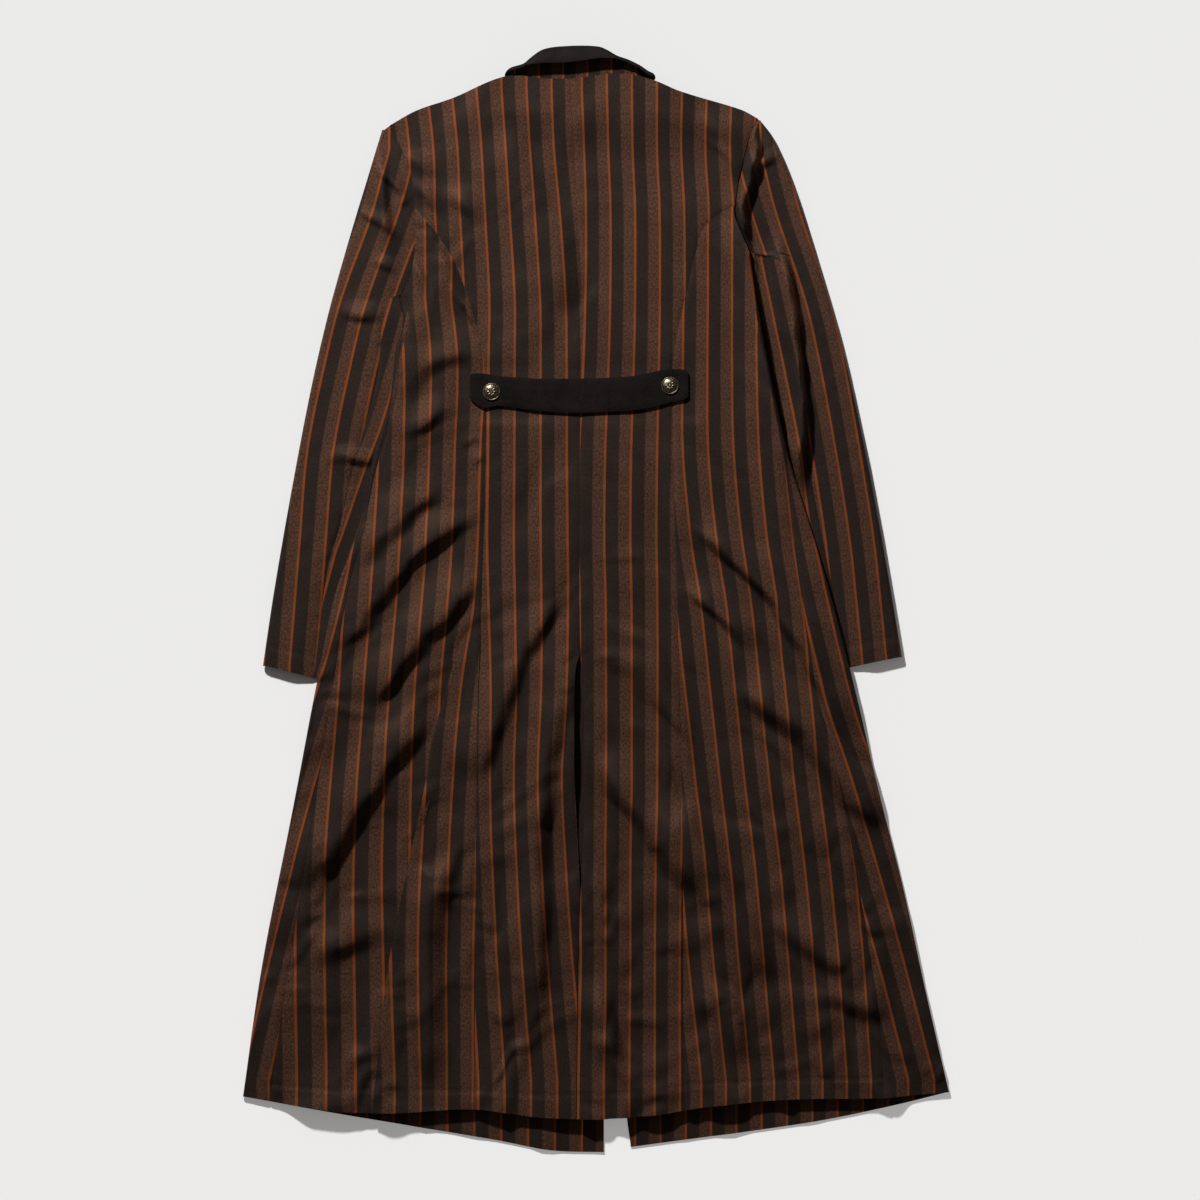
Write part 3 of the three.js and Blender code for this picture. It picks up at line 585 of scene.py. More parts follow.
def build_back(side):
    sign, name = side["sign"], side["name"]
    cap, princess = shared_edges(side)
    outer = np.concatenate([cap[:-1], princess])
    inner = level_with(outer, CENTRE_SEAM, side["back_edge"][-1][0])
    below = inner[:, 1] < VENT_TOP
    inner[below, 0] = along(side["back_edge"], inner[below, 1])
    shares = np.tile(np.linspace(0, 1, 57), (len(outer), 1))
    x, y = fill(outer, inner, shares,
                edge_between(side["shoulder"], outer[0, 0], inner[0, 0]),
                edge_between(side["back_hem"], outer[-1, 0], inner[-1, 0]))
    from_outer = np.abs(x - x[:, :1])
    from_centre = np.abs(x - x[:, -1:])
    z = back_layer(x, y) + body_relief(x, y) + hem_step(x, y)
    z += seam_dip(from_outer, y, 41 + sign, 1.0, 0.4 + 0.2 * gathers(side, y), 8)
    closed = smooth(VENT_TOP - 20, VENT_TOP + 5, y)
    z += closed * seam_dip(from_centre, y, 44, 0.8, 0.35, 8)
    if sign < 0:
        gape = smooth(VENT_TOP + 10, VENT_TOP - 30, y) * smooth(-290, -190, y)
        z += 9 * gape * np.exp(-(from_centre / 24) ** 2)
    z -= (1 - closed) * 0.8 * np.exp(-(from_centre / 1.8) ** 2)
    u = stripe_count(f"{name}_back", x, y)
    x[:, 0] += NUDGE * sign
    weave(f"{name}_back_panel", x, y, z, u, f"{name}_back")


for side in (LEFT, RIGHT):
    build_back(side)

# %% [markdown]
# ## The two side panels
# They fill the back between the princess seam and the side seam. The left one has slid into a
# pleat: its cloth doubles under along a line down the skirt. The grid follows the cloth through
# that pleat, out under its edge and back, so the stripes that are hidden are really there.

# %% The pleat and the top edge
PLEAT_TOP, PLEAT_FULL, PLEAT_STEP = -47, -94, 1.6
PLEAT_LINE = [(-94, -164), (-135, -177), (-179, -189), (-208, -193), (-250, -202), (-300, -213),
              (-415, -237), (-553, -253), (-590, -257)]
PLEAT_TUCK = [(-47, 0), (-105, 4.0), (-208, 7.5), (-312, 7.5), (-415, 8.9), (-590, 9.6)]


def underarm_curve(side, start):
    """The side panel's top edge: down the lower armhole to the side seam."""
    top, end = side["princess"][0][0], side["armhole"][-1][0]

    def curve(u):
        y = mix(end, top, u**1.3)
        x = along(side["armhole"], y)
        x = x + (start - x[0]) * (1 - u) ** 3
        return np.stack([x, y], -1)
    return curve


print("the pleat is", 2 * PLEAT_TUCK[-1][1], "mm deep at the hem")

# %% The side panels


def build_side_back(side):
    sign, name = side["sign"], side["name"]
    _, princess = shared_edges(side)
    seam = level_with(princess, side["side_seam"])
    pleated = sign < 0
    y_row = mix(seam[:, 1], princess[:, 1], 0.5)
    if pleated:
        width = princess[:, 0] - seam[:, 0]
        at_line = (along(PLEAT_LINE, y_row) - seam[:, 0]) / width
        left, middle, right = (along(table, [PLEAT_FULL]) for table in
                               (side["side_seam"], PLEAT_LINE, side["princess"]))
        line = np.where(y_row < PLEAT_FULL, at_line, (middle - left) / (right - left))
        tuck = along(PLEAT_TUCK, y_row) * (y_row < PLEAT_TOP)
        outside = np.linspace(0, 1, 52)[None] * line[:, None]
        inside = line[:, None] + np.linspace(0, 1, 34)[None] * (1 - line[:, None])
        # out under the edge, back to it, round it and on: how far, and how high
        out = np.array([0.35, 0.7, 1.0, 1.06, 1.0, 0.7, 0.35, 0.0])
        up = np.array([0.0, 0.0, 0.1, 0.5, 0.9, 1.0, 1.0, 1.1])
        shares = np.concatenate(
            [outside, np.repeat(line[:, None], len(out), 1), inside], 1)
        folded = slice(outside.shape[1], outside.shape[1] + len(out))
    else:
        shares = np.tile(np.linspace(0, 1, 76), (len(seam), 1))
    x, y = fill(seam, princess, shares, underarm_curve(side, seam[0, 0]),
                edge_between(side["back_hem"], seam[-1, 0], princess[-1, 0]))
    u = stripe_count("left_side" if pleated else "right_side", x, y)
    flat_x = x.copy()
    z = back_layer(x, y) + body_relief(x, y) + hem_step(x, y)
    if pleated:
        line_x = x[:, folded.start][:, None]
        tuck = tuck[:, None]
        step = PLEAT_STEP * np.clip(tuck / 3, 0, 1)
        past = x - line_x
        shelf = 2 * step * smooth(70, 4, past)
        z[:, folded.stop:] += shelf[:, folded.stop:]
        z[:, folded] += step * up
        x[:, folded] += tuck * out
        x[:, folded.stop] -= 0.5 * np.clip(tuck[:, 0], 0, 1)
        z[:, folded.stop] -= 0.3 * step[:, 0]
        beyond = stripe_count("left_side_past_pleat", flat_x, y) + 2
        blend = smooth(0, -60, y)
        u[:, folded.stop:] = mix(u, beyond, blend)[:, folded.stop:]
        before, after = u[:, folded.start - 1], u[:, folded.stop]
        gone = np.linspace(0, 1, len(out) + 2)[1:-1]
        u[:, folded] = mix(before[:, None], after[:, None], gone)
    from_princess = np.abs(flat_x - flat_x[:, -1:])
    from_seam = np.abs(flat_x - flat_x[:, :1])
    z += seam_dip(from_princess, y, 51 + sign, 1.0, 0.4 + 0.5 * gathers(side, y), 8, 15)
    z += seam_dip(from_seam, y, 54 + sign, 0.9, 0.35, 8)
    x[:, -1] += NUDGE * sign
    x[:, 0] -= NUDGE * sign
    weave(f"{name}_side_panel", x, y, z, u, f"{name}_side_back",
          look=8)


for side in (LEFT, RIGHT):
    build_side_back(side)

# %% [markdown]
# ## The vent's underlap
# A vent never gapes to the lining: a strip on the right side reaches under the left edge. Its
# stripes are placed so that the charcoal one lies in the gap between the panels: painted shade
# there, in the cloth's own stripes.

# %% The underlap


def build_underlap(half_width=19, foot=-592):
    y, x = np.meshgrid(np.linspace(VENT_TOP, foot, 150),
                       VENT_CENTRE + np.linspace(-half_width, half_width, 12), indexing="ij")
    z = back_layer(x, y) - LAYER - LOFT / 2 + 0.3 * ripple(x, y, 50, 61, 2)
    # the charcoal stripe lies in the vent's gap: painted shade, in the underlap's own stripes
    u = stripe_count("vent", x, y)
    weave("vent_underlap_strip", x, y, z, u, "vent_underlap")


build_underlap()

# %% [markdown]
# ## The fronts
# Each front starts at the side seam on the back, turns under at the coat's edge, and runs on
# beneath the back to the front opening. Only its first strip and its hem are seen.

# %% Pieces that turn under at an edge
BEND = 7


def turned_grid(sign, start, edge, end, upper, lower, upper_columns, lower_shares):
    """Grids for a piece that runs over the upper layer to an edge, round it and under.
    The bend is half round, or flatter where its seam leaves it no room."""
    high, low = upper(edge[:, 0], edge[:, 1]), lower(edge[:, 0], edge[:, 1])
    radius = (high - low) / 2
    room = np.abs(edge[:, 0] - start[:, 0]) - WALL / 2 - 0.4
    reach = np.minimum(radius, np.maximum(room, 0.6))
    centre = edge.copy()
    centre[:, 0] -= sign * (reach + WALL / 2)
    over = mix(start[:, None], centre[:, None], np.linspace(0, 1, upper_columns + 1)[:-1, None])
    angle = np.pi * (0.5 - np.arange(BEND + 1) / BEND)
    round_x = centre[:, :1] + sign * reach[:, None] * np.cos(angle)
    round_y = np.repeat(centre[:, 1:], BEND + 1, 1)
    round_z = (high + low)[:, None] / 2 + radius[:, None] * np.sin(angle)
    under = mix(centre[:, None], end[:, None], lower_shares[1:, None])
    x = np.concatenate([over[..., 0], round_x, under[..., 0]], 1)
    y = np.concatenate([over[..., 1], round_y, under[..., 1]], 1)
    z = np.concatenate([upper(over[..., 0], over[..., 1]), round_z,
                        lower(under[..., 0], under[..., 1])], 1)
    return x, y, z


print("cells round a turned edge:", BEND)

# %% The fronts
FRONT_HEM = 26


def build_front(side):
    sign, name = side["sign"], side["name"]
    top, armpit = ends(side["armhole"])
    above = round((top - armpit) / CELL)
    body_rows = round((armpit - EDGE_FOOT) / CELL)
    edge = np.concatenate([edge_rows(side["armhole"], above)[:-1],
                           edge_rows(side["body_edge"], body_rows)])
    seam = edge_rows(side["side_seam"], body_rows)
    start = np.concatenate([np.repeat(seam[:1], above, 0), seam])
    front = level_with(edge, side["front_edge"])
    upper_columns, lower_columns = 24, 34
    shares = np.linspace(0, 1, lower_columns + 1)
    x, y, z = turned_grid(
        sign, start, edge, front,
        lambda px, py: back_layer(px, py) + body_relief(px, py),
        front_layer, upper_columns, shares)
    lower_start = upper_columns + BEND
    u_across = (x - x[:, [lower_start]]) / (x[:, [-1]] - x[:, [lower_start]])
    u_across[:, : lower_start + 1] = 0
    v = np.linspace(0, 1, len(edge))[:, None]
    neck_x, neck_y = side["neck"]
    at_neck = (neck_x - edge[0, 0]) / (front[0, 0] - edge[0, 0])
    neck = np.where(u_across < at_neck, along(side["shoulder"], x) - 3,
                    mix(neck_y - 2, front[0, 1], (u_across - at_neck) / (1 - at_neck)))
    y += (1 - v) ** EDGE_PULL * (neck - mix(top, front[0, 1], u_across)) * (u_across > 0)
    hem_x = mix(edge[-1, 0], front[-1, 0], u_across)
    hem = along(side["front_hem"], hem_x) - mix(edge[-1, 1], front[-1, 1], u_across)
    y += v**EDGE_PULL * hem * (u_across > 0)
    below = slice(lower_start + 1, None)
    hem_waves = 4 * np.maximum(ripple(x, 0 * y, 70, 33), 0) * smooth(-585, -625, y)
    z[:, below] = (front_layer(x, y) + hem_waves)[:, below]
    turned_up = along(side["front_hem"], x) + FRONT_HEM - y
    z[:, below] += (0.5 * smooth(-1, 2, turned_up) - 0.5)[:, below]
    over = slice(0, upper_columns)
    from_seam = np.abs(x - x[:, :1])
    z[:, over] += seam_dip(from_seam, y, 54 + sign, 0.9, 0.35, 8)[:, over]
    u = stripe_count(f"{name}_front", x, y)
    u[:, below] = stripe_count(f"{name}_front_inside", x, y)[:, below]
    rows, columns = x.shape
    keep = np.ones((rows - 1, columns - 1), bool)
    keep[:above, :lower_start] = False
    x[:, 0] += 2 * NUDGE * sign
    weave(f"{name}_front_panel", x, y, z, u, f"{name}_front",
          keep=keep, look=2)


for side in (LEFT, RIGHT):
    build_front(side)

# %% [markdown]
# ## The sleeves
# A two-piece sleeve has a top sleeve, which wraps round the outer edge, and a narrower under
# sleeve, which wraps round the inner edge. Their hind seam shows down the back of the arm.

# %% Top and under sleeves
CUFF_DEPTH, TUCKED_SHARE = 22, 0.6


def build_sleeve(side):
    sign, name = side["sign"], side["name"]
    top, armpit = ends(side["armhole"])
    cap_rows = round((top - armpit) / CELL)
    arm_rows = round((armpit - side["sleeve_seam"][-1][0]) / CELL)
    seam = np.concatenate([edge_rows(side["armhole"], cap_rows)[:-1],
                           edge_rows(side["sleeve_seam"], arm_rows)])
    outer = level_with(seam, side["sleeve_outer"])
    inner = edge_rows(side["sleeve_inner"], arm_rows)
    inner[0] = seam[cap_rows - 1]
    hidden = mix(inner, seam[cap_rows:], TUCKED_SHARE)
    start = seam + (sign * 0.1, 0)
    end = np.concatenate([start[:cap_rows], hidden + (sign * 0.6, 0)])

    def sleeve_piece(part, direction, first, edge, last, columns, under_columns):
        x, y, z = turned_grid(direction, first, edge, last, sleeve_top(side), sleeve_bottom,
                              columns, np.linspace(0, 1, under_columns))
        clear = smooth(4, 24, np.abs(y - armpit))
        dip = clear * seam_dip(np.abs(x - x[:, :1]), y, 71 + sign)
        z[:, :columns] += dip[:, :columns]
        if part == "top_sleeve":
            above_cuff = y - y[-1:, :]
            z[:, :columns] += (0.5 * smooth(CUFF_DEPTH + 1, CUFF_DEPTH - 2, above_cuff)
                               - 0.8 * np.exp(-((above_cuff - CUFF_DEPTH) / 1.8) ** 2)
                               )[:, :columns]
        node = f"{name}_{part}"
        weave(node + "_cloth", x, y, z, stripe_count(node, x, y), node, look=3)

    sleeve_piece("top_sleeve", sign, start, outer, end, 40, 9)
    sleeve_piece("under_sleeve", -sign, seam[cap_rows:], inner, hidden, 22, 7)


for side in (LEFT, RIGHT):
    build_sleeve(side)

# %% [markdown]
# ## The collar
# A stand rises from the neck seam, and the leaf folds down over it. The leaf is two layers, an
# under collar of the striped cloth and a top collar of plain dark wool, and it turns round the
# neck at both ends to meet in front. Each row of the table is one place along the collar: how
# far across, which way its outside faces, the heights of the neck seam, the leaf's edge and the
# roll, and how far the leaf's edge stands off.

# %% The collar's shape
COLLAR = [
    (5, -90, 566, 572, 590, 0), (-40, -90, 570, 576, 592, 0), (-80, -90, 580, 584, 598, 0),
    (-96, -90, 589, 592, 601, 0), (-96, -30, 595, 597, 604, 0), (-96, 30, 600, 601.5, 607.5, 1),
    (-96, 90, 601.2, 605, 610.5, 4), (-83, 90, 600.8, 609.3, 614.5, 7.5),
    (-75, 90, 600, 611, 621, 8.5), (-64, 90, 598.6, 612.3, 629, 9),
    (-53, 90, 597.6, 612.8, 632.6, 9), (-38, 90, 597, 613, 634.2, 9),
    (-18, 90, 598.4, 615, 635, 9), (2, 90, 601.6, 618, 634, 9), (12, 90, 602.6, 618, 630.4, 9),
    (24, 90, 603, 617.4, 623.6, 8), (37, 90, 602.8, 613, 619, 7), (50, 90, 600.6, 606.5, 612.6, 6),
    (60, 90, 597, 599.5, 606, 2), (60, 30, 595.5, 598, 604, 0), (60, -30, 593, 595, 602, 0),
    (60, -90, 587, 590, 600, 0), (52, -90, 578, 582, 597, 0), (44, -90, 570, 576, 592, 0)]
COLLAR_LAYER = WALL + 0.8
STAND_SLOPE = 0.12
LOW = WALL / 2 + LAYER + 2 * COLLAR_LAYER
HIGH = WALL / 2 + LAYER + LOFT + NECK_LIFT


def collar_rows():
    places = np.arange(len(COLLAR), dtype=float)
    fine = np.linspace(0, len(COLLAR) - 1, (len(COLLAR) - 1) * 6 + 1)
    table = np.column_stack([places, np.array(COLLAR, float)])
    return [along(table, fine, k)[:, None] for k in range(1, 7)]


def collar_point(x, turn, y, rise, lift):
    angle = np.radians(turn)
    out_x, out_z = np.cos(angle) * np.sign(x - NECK_CENTRE), np.sin(angle)
    far = (HIGH - LOW) / 2 + rise * COLLAR_LAYER + lift
    return x + out_x * far, y + 0 * far, (HIGH + LOW) / 2 + out_z * far


print("places along the collar:", len(collar_rows()[0]))

# %% Stand, under collar and top collar


def build_collar():
    x, turn, neck, leaf, roll, lift = collar_rows()
    radius = 1.5 * COLLAR_LAYER
    roll = roll - radius - WALL / 2
    share = np.linspace(0, 1, 9)[None]
    leaf_lift = lift * (1 - (1 - STAND_SLOPE) * (1 - share) ** 2)
    stand_lift = lift * STAND_SLOPE * share

    def piece(name, node, grids, cut, area, slot="striped_cloth"):
        px, py, pz = (np.concatenate(g, 1) for g in zip(*grids))
        u = stripe_count("collar", px, py)
        weave(name, px, py, pz, u, node, look=2,
              look_row=60)

    piece("collar_stand_cloth", "collar_stand",
          [collar_point(x, turn, neck - 4, -0.65, 0 * neck),
           collar_point(x, turn, mix(neck, roll, share), 0, stand_lift)], (0.42, 0.03), 0.0085)
    piece("under_collar_cloth", "under_collar",
          [collar_point(x, turn, mix(roll, leaf, share), 1, leaf_lift)], (0.36, 0.022), 0.0045)
    back = share[:, :0:-1]
    outer = collar_point(x, turn, mix(roll, leaf + 1.2, back), 2, leaf_lift[:, :0:-1])
    angle = np.pi * (0.5 - np.arange(BEND + 1) / BEND)[None]
    far = 0.5 * COLLAR_LAYER + lift * STAND_SLOPE + radius * np.sin(angle)
    side_x, _, side_z = collar_point(x, turn, roll, 0, far)
    bend = (side_x, roll + radius * np.cos(angle), side_z)
    inner = collar_point(x, turn, mix(roll, neck, share[:, 1:]), -1, stand_lift[:, :0:-1])
    piece("top_collar_cloth", "top_collar", [outer, bend, inner], (0.42, 0.06), 0.0145,
          "plain_wool")


build_collar()

# %% [markdown]
# ## The half belt
# It is two layers of plain wool, sewn right side to right side, turned and pressed. It sags
# between its buttons, and its edges are rounded by the seam allowance inside.

# %% The half belt
HALF_BELT = [
    (-145, 256, 231), (-142, 259, 227.5), (-130, 259, 220), (-112, 256, 222), (-64, 253, 216),
    (-23, 253, 214), (12, 254, 215), (43, 256, 217), (67, 261, 221), (85, 264, 226),
    (102, 263, 229.5), (106, 260, 233)]
BELT_LEFT, BELT_RIGHT, BELT_CORNER, BELT_WALL = -145, 106, 14, 2.4
BUTTONS = {"left_button": (-120, 238), "right_button": (85, 245)}


def belt_height(x, y):
    return back_layer(x, y) + WALL / 2 + 0.3 + BELT_WALL / 2


def build_half_belt():
    left, right = BELT_LEFT + BELT_CORNER, BELT_RIGHT - BELT_CORNER
    turn = np.linspace(0, np.pi / 2, 9)
    along_x = np.concatenate([
        BELT_LEFT + BELT_CORNER * (1 - np.cos(turn[:-1])), np.linspace(left, right, 62),
        right + BELT_CORNER * np.sin(turn[1:])])
    x = along_x[:, None] * np.ones((1, 15))
    share = (1 - np.cos(np.linspace(0, np.pi, 15))) / 2
    y = mix(along(HALF_BELT, x), along(HALF_BELT, x, 2), share[None])
    edge = np.minimum.reduce([
        y - along(HALF_BELT, x, 2), along(HALF_BELT, x) - y, x - BELT_LEFT, BELT_RIGHT - x])
    held = sum(np.exp(-((x - bx) ** 2 + (y - by) ** 2) / 16**2) for bx, by in BUTTONS.values())
    z = (belt_height(x, y) + 1.1 + 0.9 * smooth(0, 5, edge) - 0.5 * np.exp(-((edge - 6) / 1.4) ** 2)
         + 0.35 * ripple(x, y, 34, 81) - 0.8 * np.clip(held, 0, 1))
    weave("half_belt_wool", x, y, z, x / PERIOD, "half_belt",
          look=4, wall=2.2)


build_half_belt()

# %% [markdown]
# ## The buttons
# Each is a small pressed-brass dome with a raised rim and a flower of eight petals. A cylinder is
# the start: its top is inset and sunk to leave a rim, inset again and raised into a dome, and the
# edges are bevelled. The petals are spheres, flattened and set in a ring.

# %% A button
BUTTON_RADIUS, PETALS, PETAL_RING = 9.9, 8, 4.2
DOME = ((1.6, 1.1), (2.0, 0.8), (2.0, 0.45), (1.6, 0.15))  # rings of it: how far in, how far up


def select_top(mesh, height):
    """In edit mode, selects only the faces that look up and lie above `height` (metres)."""
    bpy.ops.mesh.select_all(action="DESELECT")
    bpy.ops.object.mode_set(mode="OBJECT")
    for face in mesh.polygons:
        face.select = face.normal.z > 0.9 and face.center.z > height
    bpy.ops.object.mode_set(mode="EDIT")


def build_button(node):
    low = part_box(node)[0]
    x, y = BUTTONS[node][0] * MM, BUTTONS[node][1] * MM
    base = low.z + 0.6 * MM
    bpy.ops.mesh.primitive_cylinder_add(
        vertices=48, radius=BUTTON_RADIUS * MM, depth=2 * MM, location=(x, y, base + 1 * MM))
    button = bpy.context.object
    button.name = node + "_brass"
    bpy.ops.object.mode_set(mode="EDIT")
    bpy.ops.mesh.select_mode(type="FACE")
    select_top(button.data, 0)
    bpy.ops.mesh.inset(thickness=1.1 * MM)
    bpy.ops.mesh.inset(thickness=0.5 * MM, depth=-0.8 * MM)
    for step, rise in DOME:
        bpy.ops.mesh.inset(thickness=step * MM, depth=rise * MM)
    bpy.ops.mesh.select_all(action="SELECT")
    bpy.ops.mesh.normals_make_consistent(inside=False)
    bpy.ops.object.mode_set(mode="OBJECT")
    soften = button.modifiers.new("edges", "BEVEL")
    soften.width, soften.segments = 0.3 * MM, 2
    bpy.ops.object.modifier_apply(modifier=soften.name)
    parts = [button]
    for k in range(PETALS):
        angle = 2 * math.pi * k / PETALS
        bpy.ops.mesh.primitive_uv_sphere_add(
            segments=12, ring_count=6, radius=1,
            location=(x + PETAL_RING * MM * math.cos(angle),
                      y + PETAL_RING * MM * math.sin(angle), base + 3.35 * MM),
            rotation=(0, math.radians(14), angle))
        petal = bpy.context.object
        petal.scale = (2.3 * MM, 1.15 * MM, 0.7 * MM)
        parts.append(petal)
    bpy.ops.mesh.primitive_uv_sphere_add(
        segments=16, ring_count=8, radius=1.5 * MM, location=(x, y, base + 3.9 * MM))
    parts.append(bpy.context.object)
    for part in parts:
        part.select_set(True)
    bpy.context.view_layer.objects.active = button
    bpy.ops.object.join()
    bpy.ops.object.transform_apply(location=True, rotation=True, scale=True)
    bpy.ops.object.shade_smooth_by_angle(angle=math.radians(40))
    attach(button, "root")
    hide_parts(node)
    print(node, "stands on the belt at", round(low.z / MM, 1), "mm")
    return button


BRASS_BUTTONS = [build_button(node) for node in BUTTONS]

# %% [markdown]
# ## Finishes
# Colours are written as hex, as a dyer's card would give them, and one function turns them into
# the linear light that the renderer works in. Two more add a node, set it up and wire it.

# %% Helpers for materials


def linear(code):
    parts = [int(code[i:i + 2], 16) / 255 for i in (1, 3, 5)]
    return [p / 12.92 if p <= 0.04045 else ((p + 0.055) / 1.055) ** 2.4 for p in parts] + [1]


def wire(tree, node, links=(), **settings):
    """Sets a node up. Settings name its properties or, with in_ in front, its input sockets by
    name or number. Links are pairs of an input and an output; a node means its first output."""
    for key, value in settings.items():
        if key.startswith("in_"):
            key = key[3:].replace("_", " ")
            node.inputs[int(key) if key.isdigit() else key].default_value = value
        else:
            setattr(node, key, value)
    for target, source in links:
        if isinstance(source, bpy.types.Node):
            source = source.outputs[0]
        tree.links.new(source, node.inputs[target])
    return node


def add(tree, kind, links=(), **settings):
    return wire(tree, tree.nodes.new(kind), links, **settings)


def new_material(name):
    material = bpy.data.materials.new(name)
    material.use_nodes = True
    tree = material.node_tree
    tree.nodes.clear()
    shader = add(tree, "ShaderNodeBsdfPrincipled")
    add(tree, "ShaderNodeOutputMaterial", [(0, shader)])
    return material, tree, shader


def set_ramp(node, stops):
    ramp = node.color_ramp
    while len(ramp.elements) > 1:
        ramp.elements.remove(ramp.elements[-1])
    ramp.elements[0].position, ramp.elements[0].color = stops[0]
    for place, colour in stops[1:]:
        ramp.elements.new(place).color = colour


# %% [markdown]
# ### Striped satin-backed suiting
# A cotton and viscose cloth, woven with warp stripes 30 mm apart: a charcoal stripe 14.6 mm wide,
# a brown one of 12.8 mm whose yarn is flecked, and between them an orange line of 2.6 mm. Smooth
# viscose gives the cloth a low broad gloss, so folds turn from dull to bright.

# %% The striped cloth


def striped_cloth():
    material, tree, shader = new_material("striped cotton-viscose suiting")
    uv = add(tree, "ShaderNodeUVMap", uv_map="stripes")
    across = add(tree, "ShaderNodeSeparateXYZ", [(0, uv)])
    place = add(tree, "ShaderNodeMath", [(0, across)], operation="FRACT")
    stripes = add(tree, "ShaderNodeValToRGB", [(0, place)])
    dark, brown, orange = linear("#261f1c"), linear("#432e24"), linear("#71391d")
    line = 1.3 / PERIOD
    set_ramp(stripes, [
        (0, orange), (line * 0.8, orange), (line * 1.3, dark), (0.505, dark), (0.56, brown),
        (1 - line * 1.3, brown), (1 - line * 0.8, orange)])
    brownness = add(tree, "ShaderNodeValToRGB", [(0, place)])
    off, part, on = (0, 0, 0, 1), (0.45, 0.45, 0.45, 1), (1, 1, 1, 1)
    set_ramp(brownness, [(0, off), (0.05, part), (0.5, part), (0.57, on), (0.94, on), (0.96, off)])
    # flecks in the brown yarn, 2 mm, drawn out down the warp
    warp = add(tree, "ShaderNodeMapping", [(0, uv)], in_Scale=(1, 0.6, 1))
    flecks = add(tree, "ShaderNodeTexNoise", [(0, warp)], in_Scale=PERIOD / 1.8, in_Detail=3.0,
                 in_Roughness=0.7)
    fleck_tone = add(tree, "ShaderNodeMapRange", [(0, flecks)], in_1=0.3, in_2=0.7, in_3=0.35,
                     in_4=1.65)
    tone = add(tree, "ShaderNodeMix", [(0, brownness), (3, fleck_tone)],
               data_type="FLOAT", in_2=1.0)
    # broad unevenness of dye and wear
    wear = add(tree, "ShaderNodeTexNoise", [(0, uv)], in_Scale=0.55, in_Detail=4.0)
    wear_tone = add(tree, "ShaderNodeMapRange", [(0, wear)], in_1=0.3, in_2=0.7, in_3=0.9,
                    in_4=1.1)
    both = add(tree, "ShaderNodeMath", [(0, tone), (1, wear_tone)], operation="MULTIPLY")
    colour = add(tree, "ShaderNodeVectorMath", [(0, stripes), ("Scale", both)],
                 operation="SCALE")
    # the ribs of the weave, 1.5 mm: coarser than the real threads, so that they show
    rib = add(tree, "ShaderNodeTexWave", [(0, uv)], bands_direction="X",
              in_Scale=PERIOD / 1.5 / math.pi, in_Distortion=1.2, in_Detail=1.0)
    grain = add(tree, "ShaderNodeMath", [(0, rib.outputs[1]), (1, flecks)], operation="ADD")
    bump = add(tree, "ShaderNodeBump", [("Height", grain)], in_Strength=0.35, in_Distance=0.00025)
    wire(tree, shader, [("Base Color", colour), ("Normal", bump)], in_Roughness=0.5,
         in_Specular_IOR_Level=0.08, in_Specular_Tint=linear("#d9a27c"))
    return material


STRIPED = striped_cloth()
print("made", STRIPED.name)

# %% [markdown]
# ### Plain dark wool
# The top collar and the half belt are a fulled wool, nearly black, with a soft nap that hides the
# weave and takes the light without gloss.

# %% The plain wool


def plain_wool():
    material, tree, shader = new_material("fulled dark wool")
    place = add(tree, "ShaderNodeTexCoord")
    nap = add(tree, "ShaderNodeTexNoise", [(0, place.outputs["Object"])], in_Scale=380.0,
              in_Detail=4.0, in_Roughness=0.65)
    cloudy = add(tree, "ShaderNodeTexNoise", [(0, place.outputs["Object"])], in_Scale=45.0,
                 in_Detail=3.0)
    mixed = add(tree, "ShaderNodeMath", [(0, nap), (1, cloudy)], operation="ADD")
    tone = add(tree, "ShaderNodeMapRange", [(0, mixed)], in_1=0.7, in_2=1.3)
    colours = add(tree, "ShaderNodeValToRGB", [(0, tone)])
    set_ramp(colours, [(0, linear("#070505")), (1, linear("#17110e"))])
    bump = add(tree, "ShaderNodeBump", [("Height", nap)], in_Strength=0.4, in_Distance=0.0004)
    wire(tree, shader, [("Base Color", colours), ("Normal", bump)], in_Roughness=0.85,
         in_Specular_IOR_Level=0.1)
    return material


WOOL = plain_wool()
print("made", WOOL.name)

# %% [markdown]
# ### Antique brass
# The buttons are pressed brass that was darkened in its hollows and rubbed bright on what stands
# out.

# %% The brass


def antique_brass():
    material, tree, shader = new_material("pressed antique brass")
    worn = add(tree, "ShaderNodeNewGeometry")
    place = add(tree, "ShaderNodeTexCoord")
    spots = add(tree, "ShaderNodeTexNoise", [(0, place.outputs["Object"])], in_Scale=700.0,
                in_Detail=4.0)
    shine = add(tree, "ShaderNodeMath", [(0, worn.outputs["Pointiness"]), (1, spots)],
                operation="ADD")
    tone = add(tree, "ShaderNodeMapRange", [(0, shine)], in_1=0.85, in_2=1.12)
    colours = add(tree, "ShaderNodeValToRGB", [(0, tone)])
    set_ramp(colours, [(0, linear("#211c14")), (0.5, linear("#574e3d")), (1, linear("#93886f"))])
    wire(tree, shader, [("Base Color", colours)], in_Metallic=1.0, in_Roughness=0.38)
    return material


BRASS = antique_brass()
print("made", BRASS.name)

# %% Each piece gets its cloth
for node, piece in CLOTHES.items():
    piece.data.materials.clear()
    piece.data.materials.append(WOOL if node in ("top_collar", "half_belt") else STRIPED)
for button in BRASS_BUTTONS:
    button.data.materials.clear()
    button.data.materials.append(BRASS)
print("cloth pieces:", len(CLOTHES), "buttons:", len(BRASS_BUTTONS))

# %% [markdown]
# ## Table, light and camera
# The coat lies on a plain pale table. One lamp from the upper left gives the folds their shape. It
# is near enough to fall off towards the hem and to graze it, so the folds of the skirt are the
# deepest. An even sky fills the shadows, and the camera looks straight down from six metres, so
# that the edges of the coat keep their places.

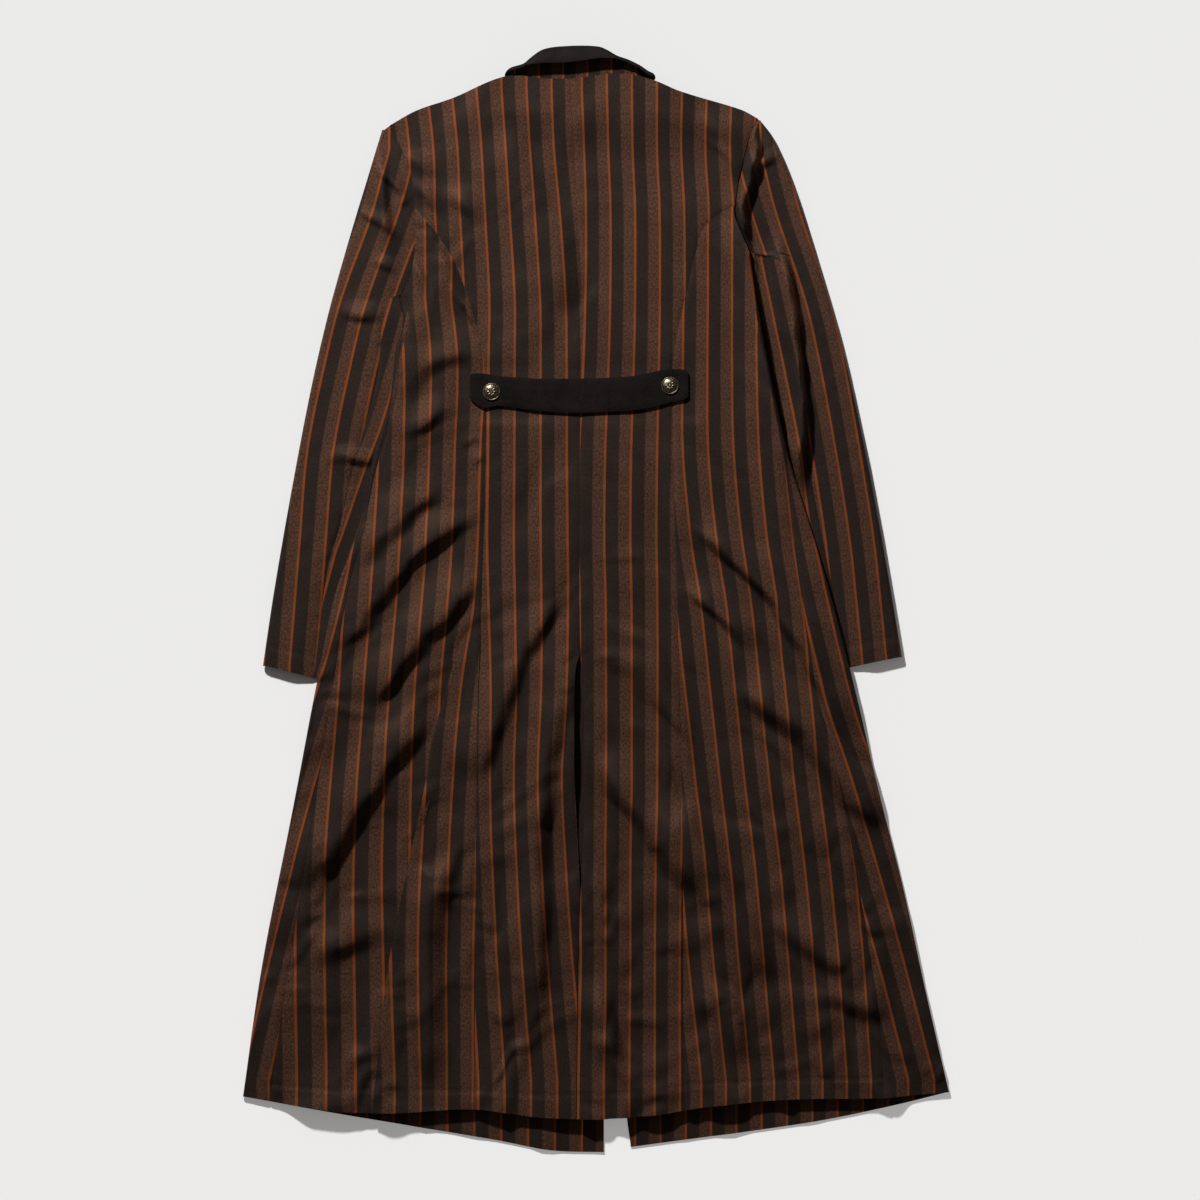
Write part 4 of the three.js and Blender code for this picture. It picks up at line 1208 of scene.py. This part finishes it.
# %% The lamp and the sky
LAMP = Vector((-1.02, 2.22, 1.7))
lamp = bpy.data.objects.new("lamp", bpy.data.lights.new("lamp", "POINT"))
lamp.data.energy, lamp.data.shadow_soft_size = 510, 0.11
lamp.location = LAMP
bpy.context.scene.collection.objects.link(lamp)

SKY = 0.112
world = bpy.data.worlds.new("even sky")
world.use_nodes = True
world.node_tree.nodes["Background"].inputs["Color"].default_value = (1, 0.94, 0.88, 1)
world.node_tree.nodes["Background"].inputs["Strength"].default_value = SKY
bpy.context.scene.world = world
bpy.context.scene.view_settings.view_transform = "Standard"
print("lamp at", [round(v, 2) for v in LAMP], "m, sky", SKY)

# %% [markdown]
# ### The table
# A lamp this near would burn the paper out beside it and leave it grey at the hem. Graded paper on
# a light table evens that out: it is a little darker near the lamp and glows a little far from it,
# and how much is worked out from the same inverse-square law as the lamp's.

# %% The table
PAPER = 0.93
PAPER_WHITE = 0.826


def plain_paper():
    material, tree, shader = new_material("pale matt paper on a light table")
    place = add(tree, "ShaderNodeTexCoord")
    away = add(tree, "ShaderNodeVectorMath", [(0, place.outputs["Object"])],
               operation="DISTANCE", in_1=LAMP)
    cube = add(tree, "ShaderNodeMath", [(0, away.outputs["Value"])], operation="POWER", in_1=3.0)
    lamp_light = add(tree, "ShaderNodeMath", [(1, cube)], operation="DIVIDE",
                     in_0=lamp.data.energy / (4 * math.pi**2) * LAMP.z)
    light = add(tree, "ShaderNodeMath", [(0, lamp_light)], in_1=SKY * 0.94)
    needed = add(tree, "ShaderNodeMath", [(1, light)], operation="DIVIDE", in_0=PAPER_WHITE)
    tone = add(tree, "ShaderNodeMath", [(0, needed)], operation="MINIMUM", in_1=PAPER)
    given = add(tree, "ShaderNodeMath", [(0, light)], operation="MULTIPLY", in_1=PAPER)
    glow = add(tree, "ShaderNodeMath", [(1, given)], operation="SUBTRACT", use_clamp=True,
               in_0=PAPER_WHITE)
    wire(tree, shader, [("Base Color", tone), ("Emission Strength", glow)],
         in_Emission_Color=(1, 1, 1, 1), in_Roughness=0.9, in_Specular_IOR_Level=0.0)
    return material


bpy.ops.mesh.primitive_plane_add(size=60, location=(0, 0, 0))
table_top = bpy.context.object
table_top.name = "table_top"
table_top.location.z = -0.0005
table_top.data.materials.append(plain_paper())
print("the table lies at", round(table_top.location.z / MM, 1), "mm")

# %% [markdown]
# ### The camera
# Its frame takes in 1.38 m of the table. The lens follows from that width and the distance.

# %% The camera
camera = bpy.data.objects.new("camera", bpy.data.cameras.new("camera"))
distance, frame_width = 6.0, 1.380
camera.data.lens = camera.data.sensor_width / 2 / (frame_width / 2 / distance)
camera.location = (0.0046, -0.00115, distance)
camera.data.clip_end = 100
bpy.context.scene.collection.objects.link(camera)
bpy.context.scene.camera = camera
print("camera", distance, "m up, with a lens of", round(camera.data.lens, 1), "mm")
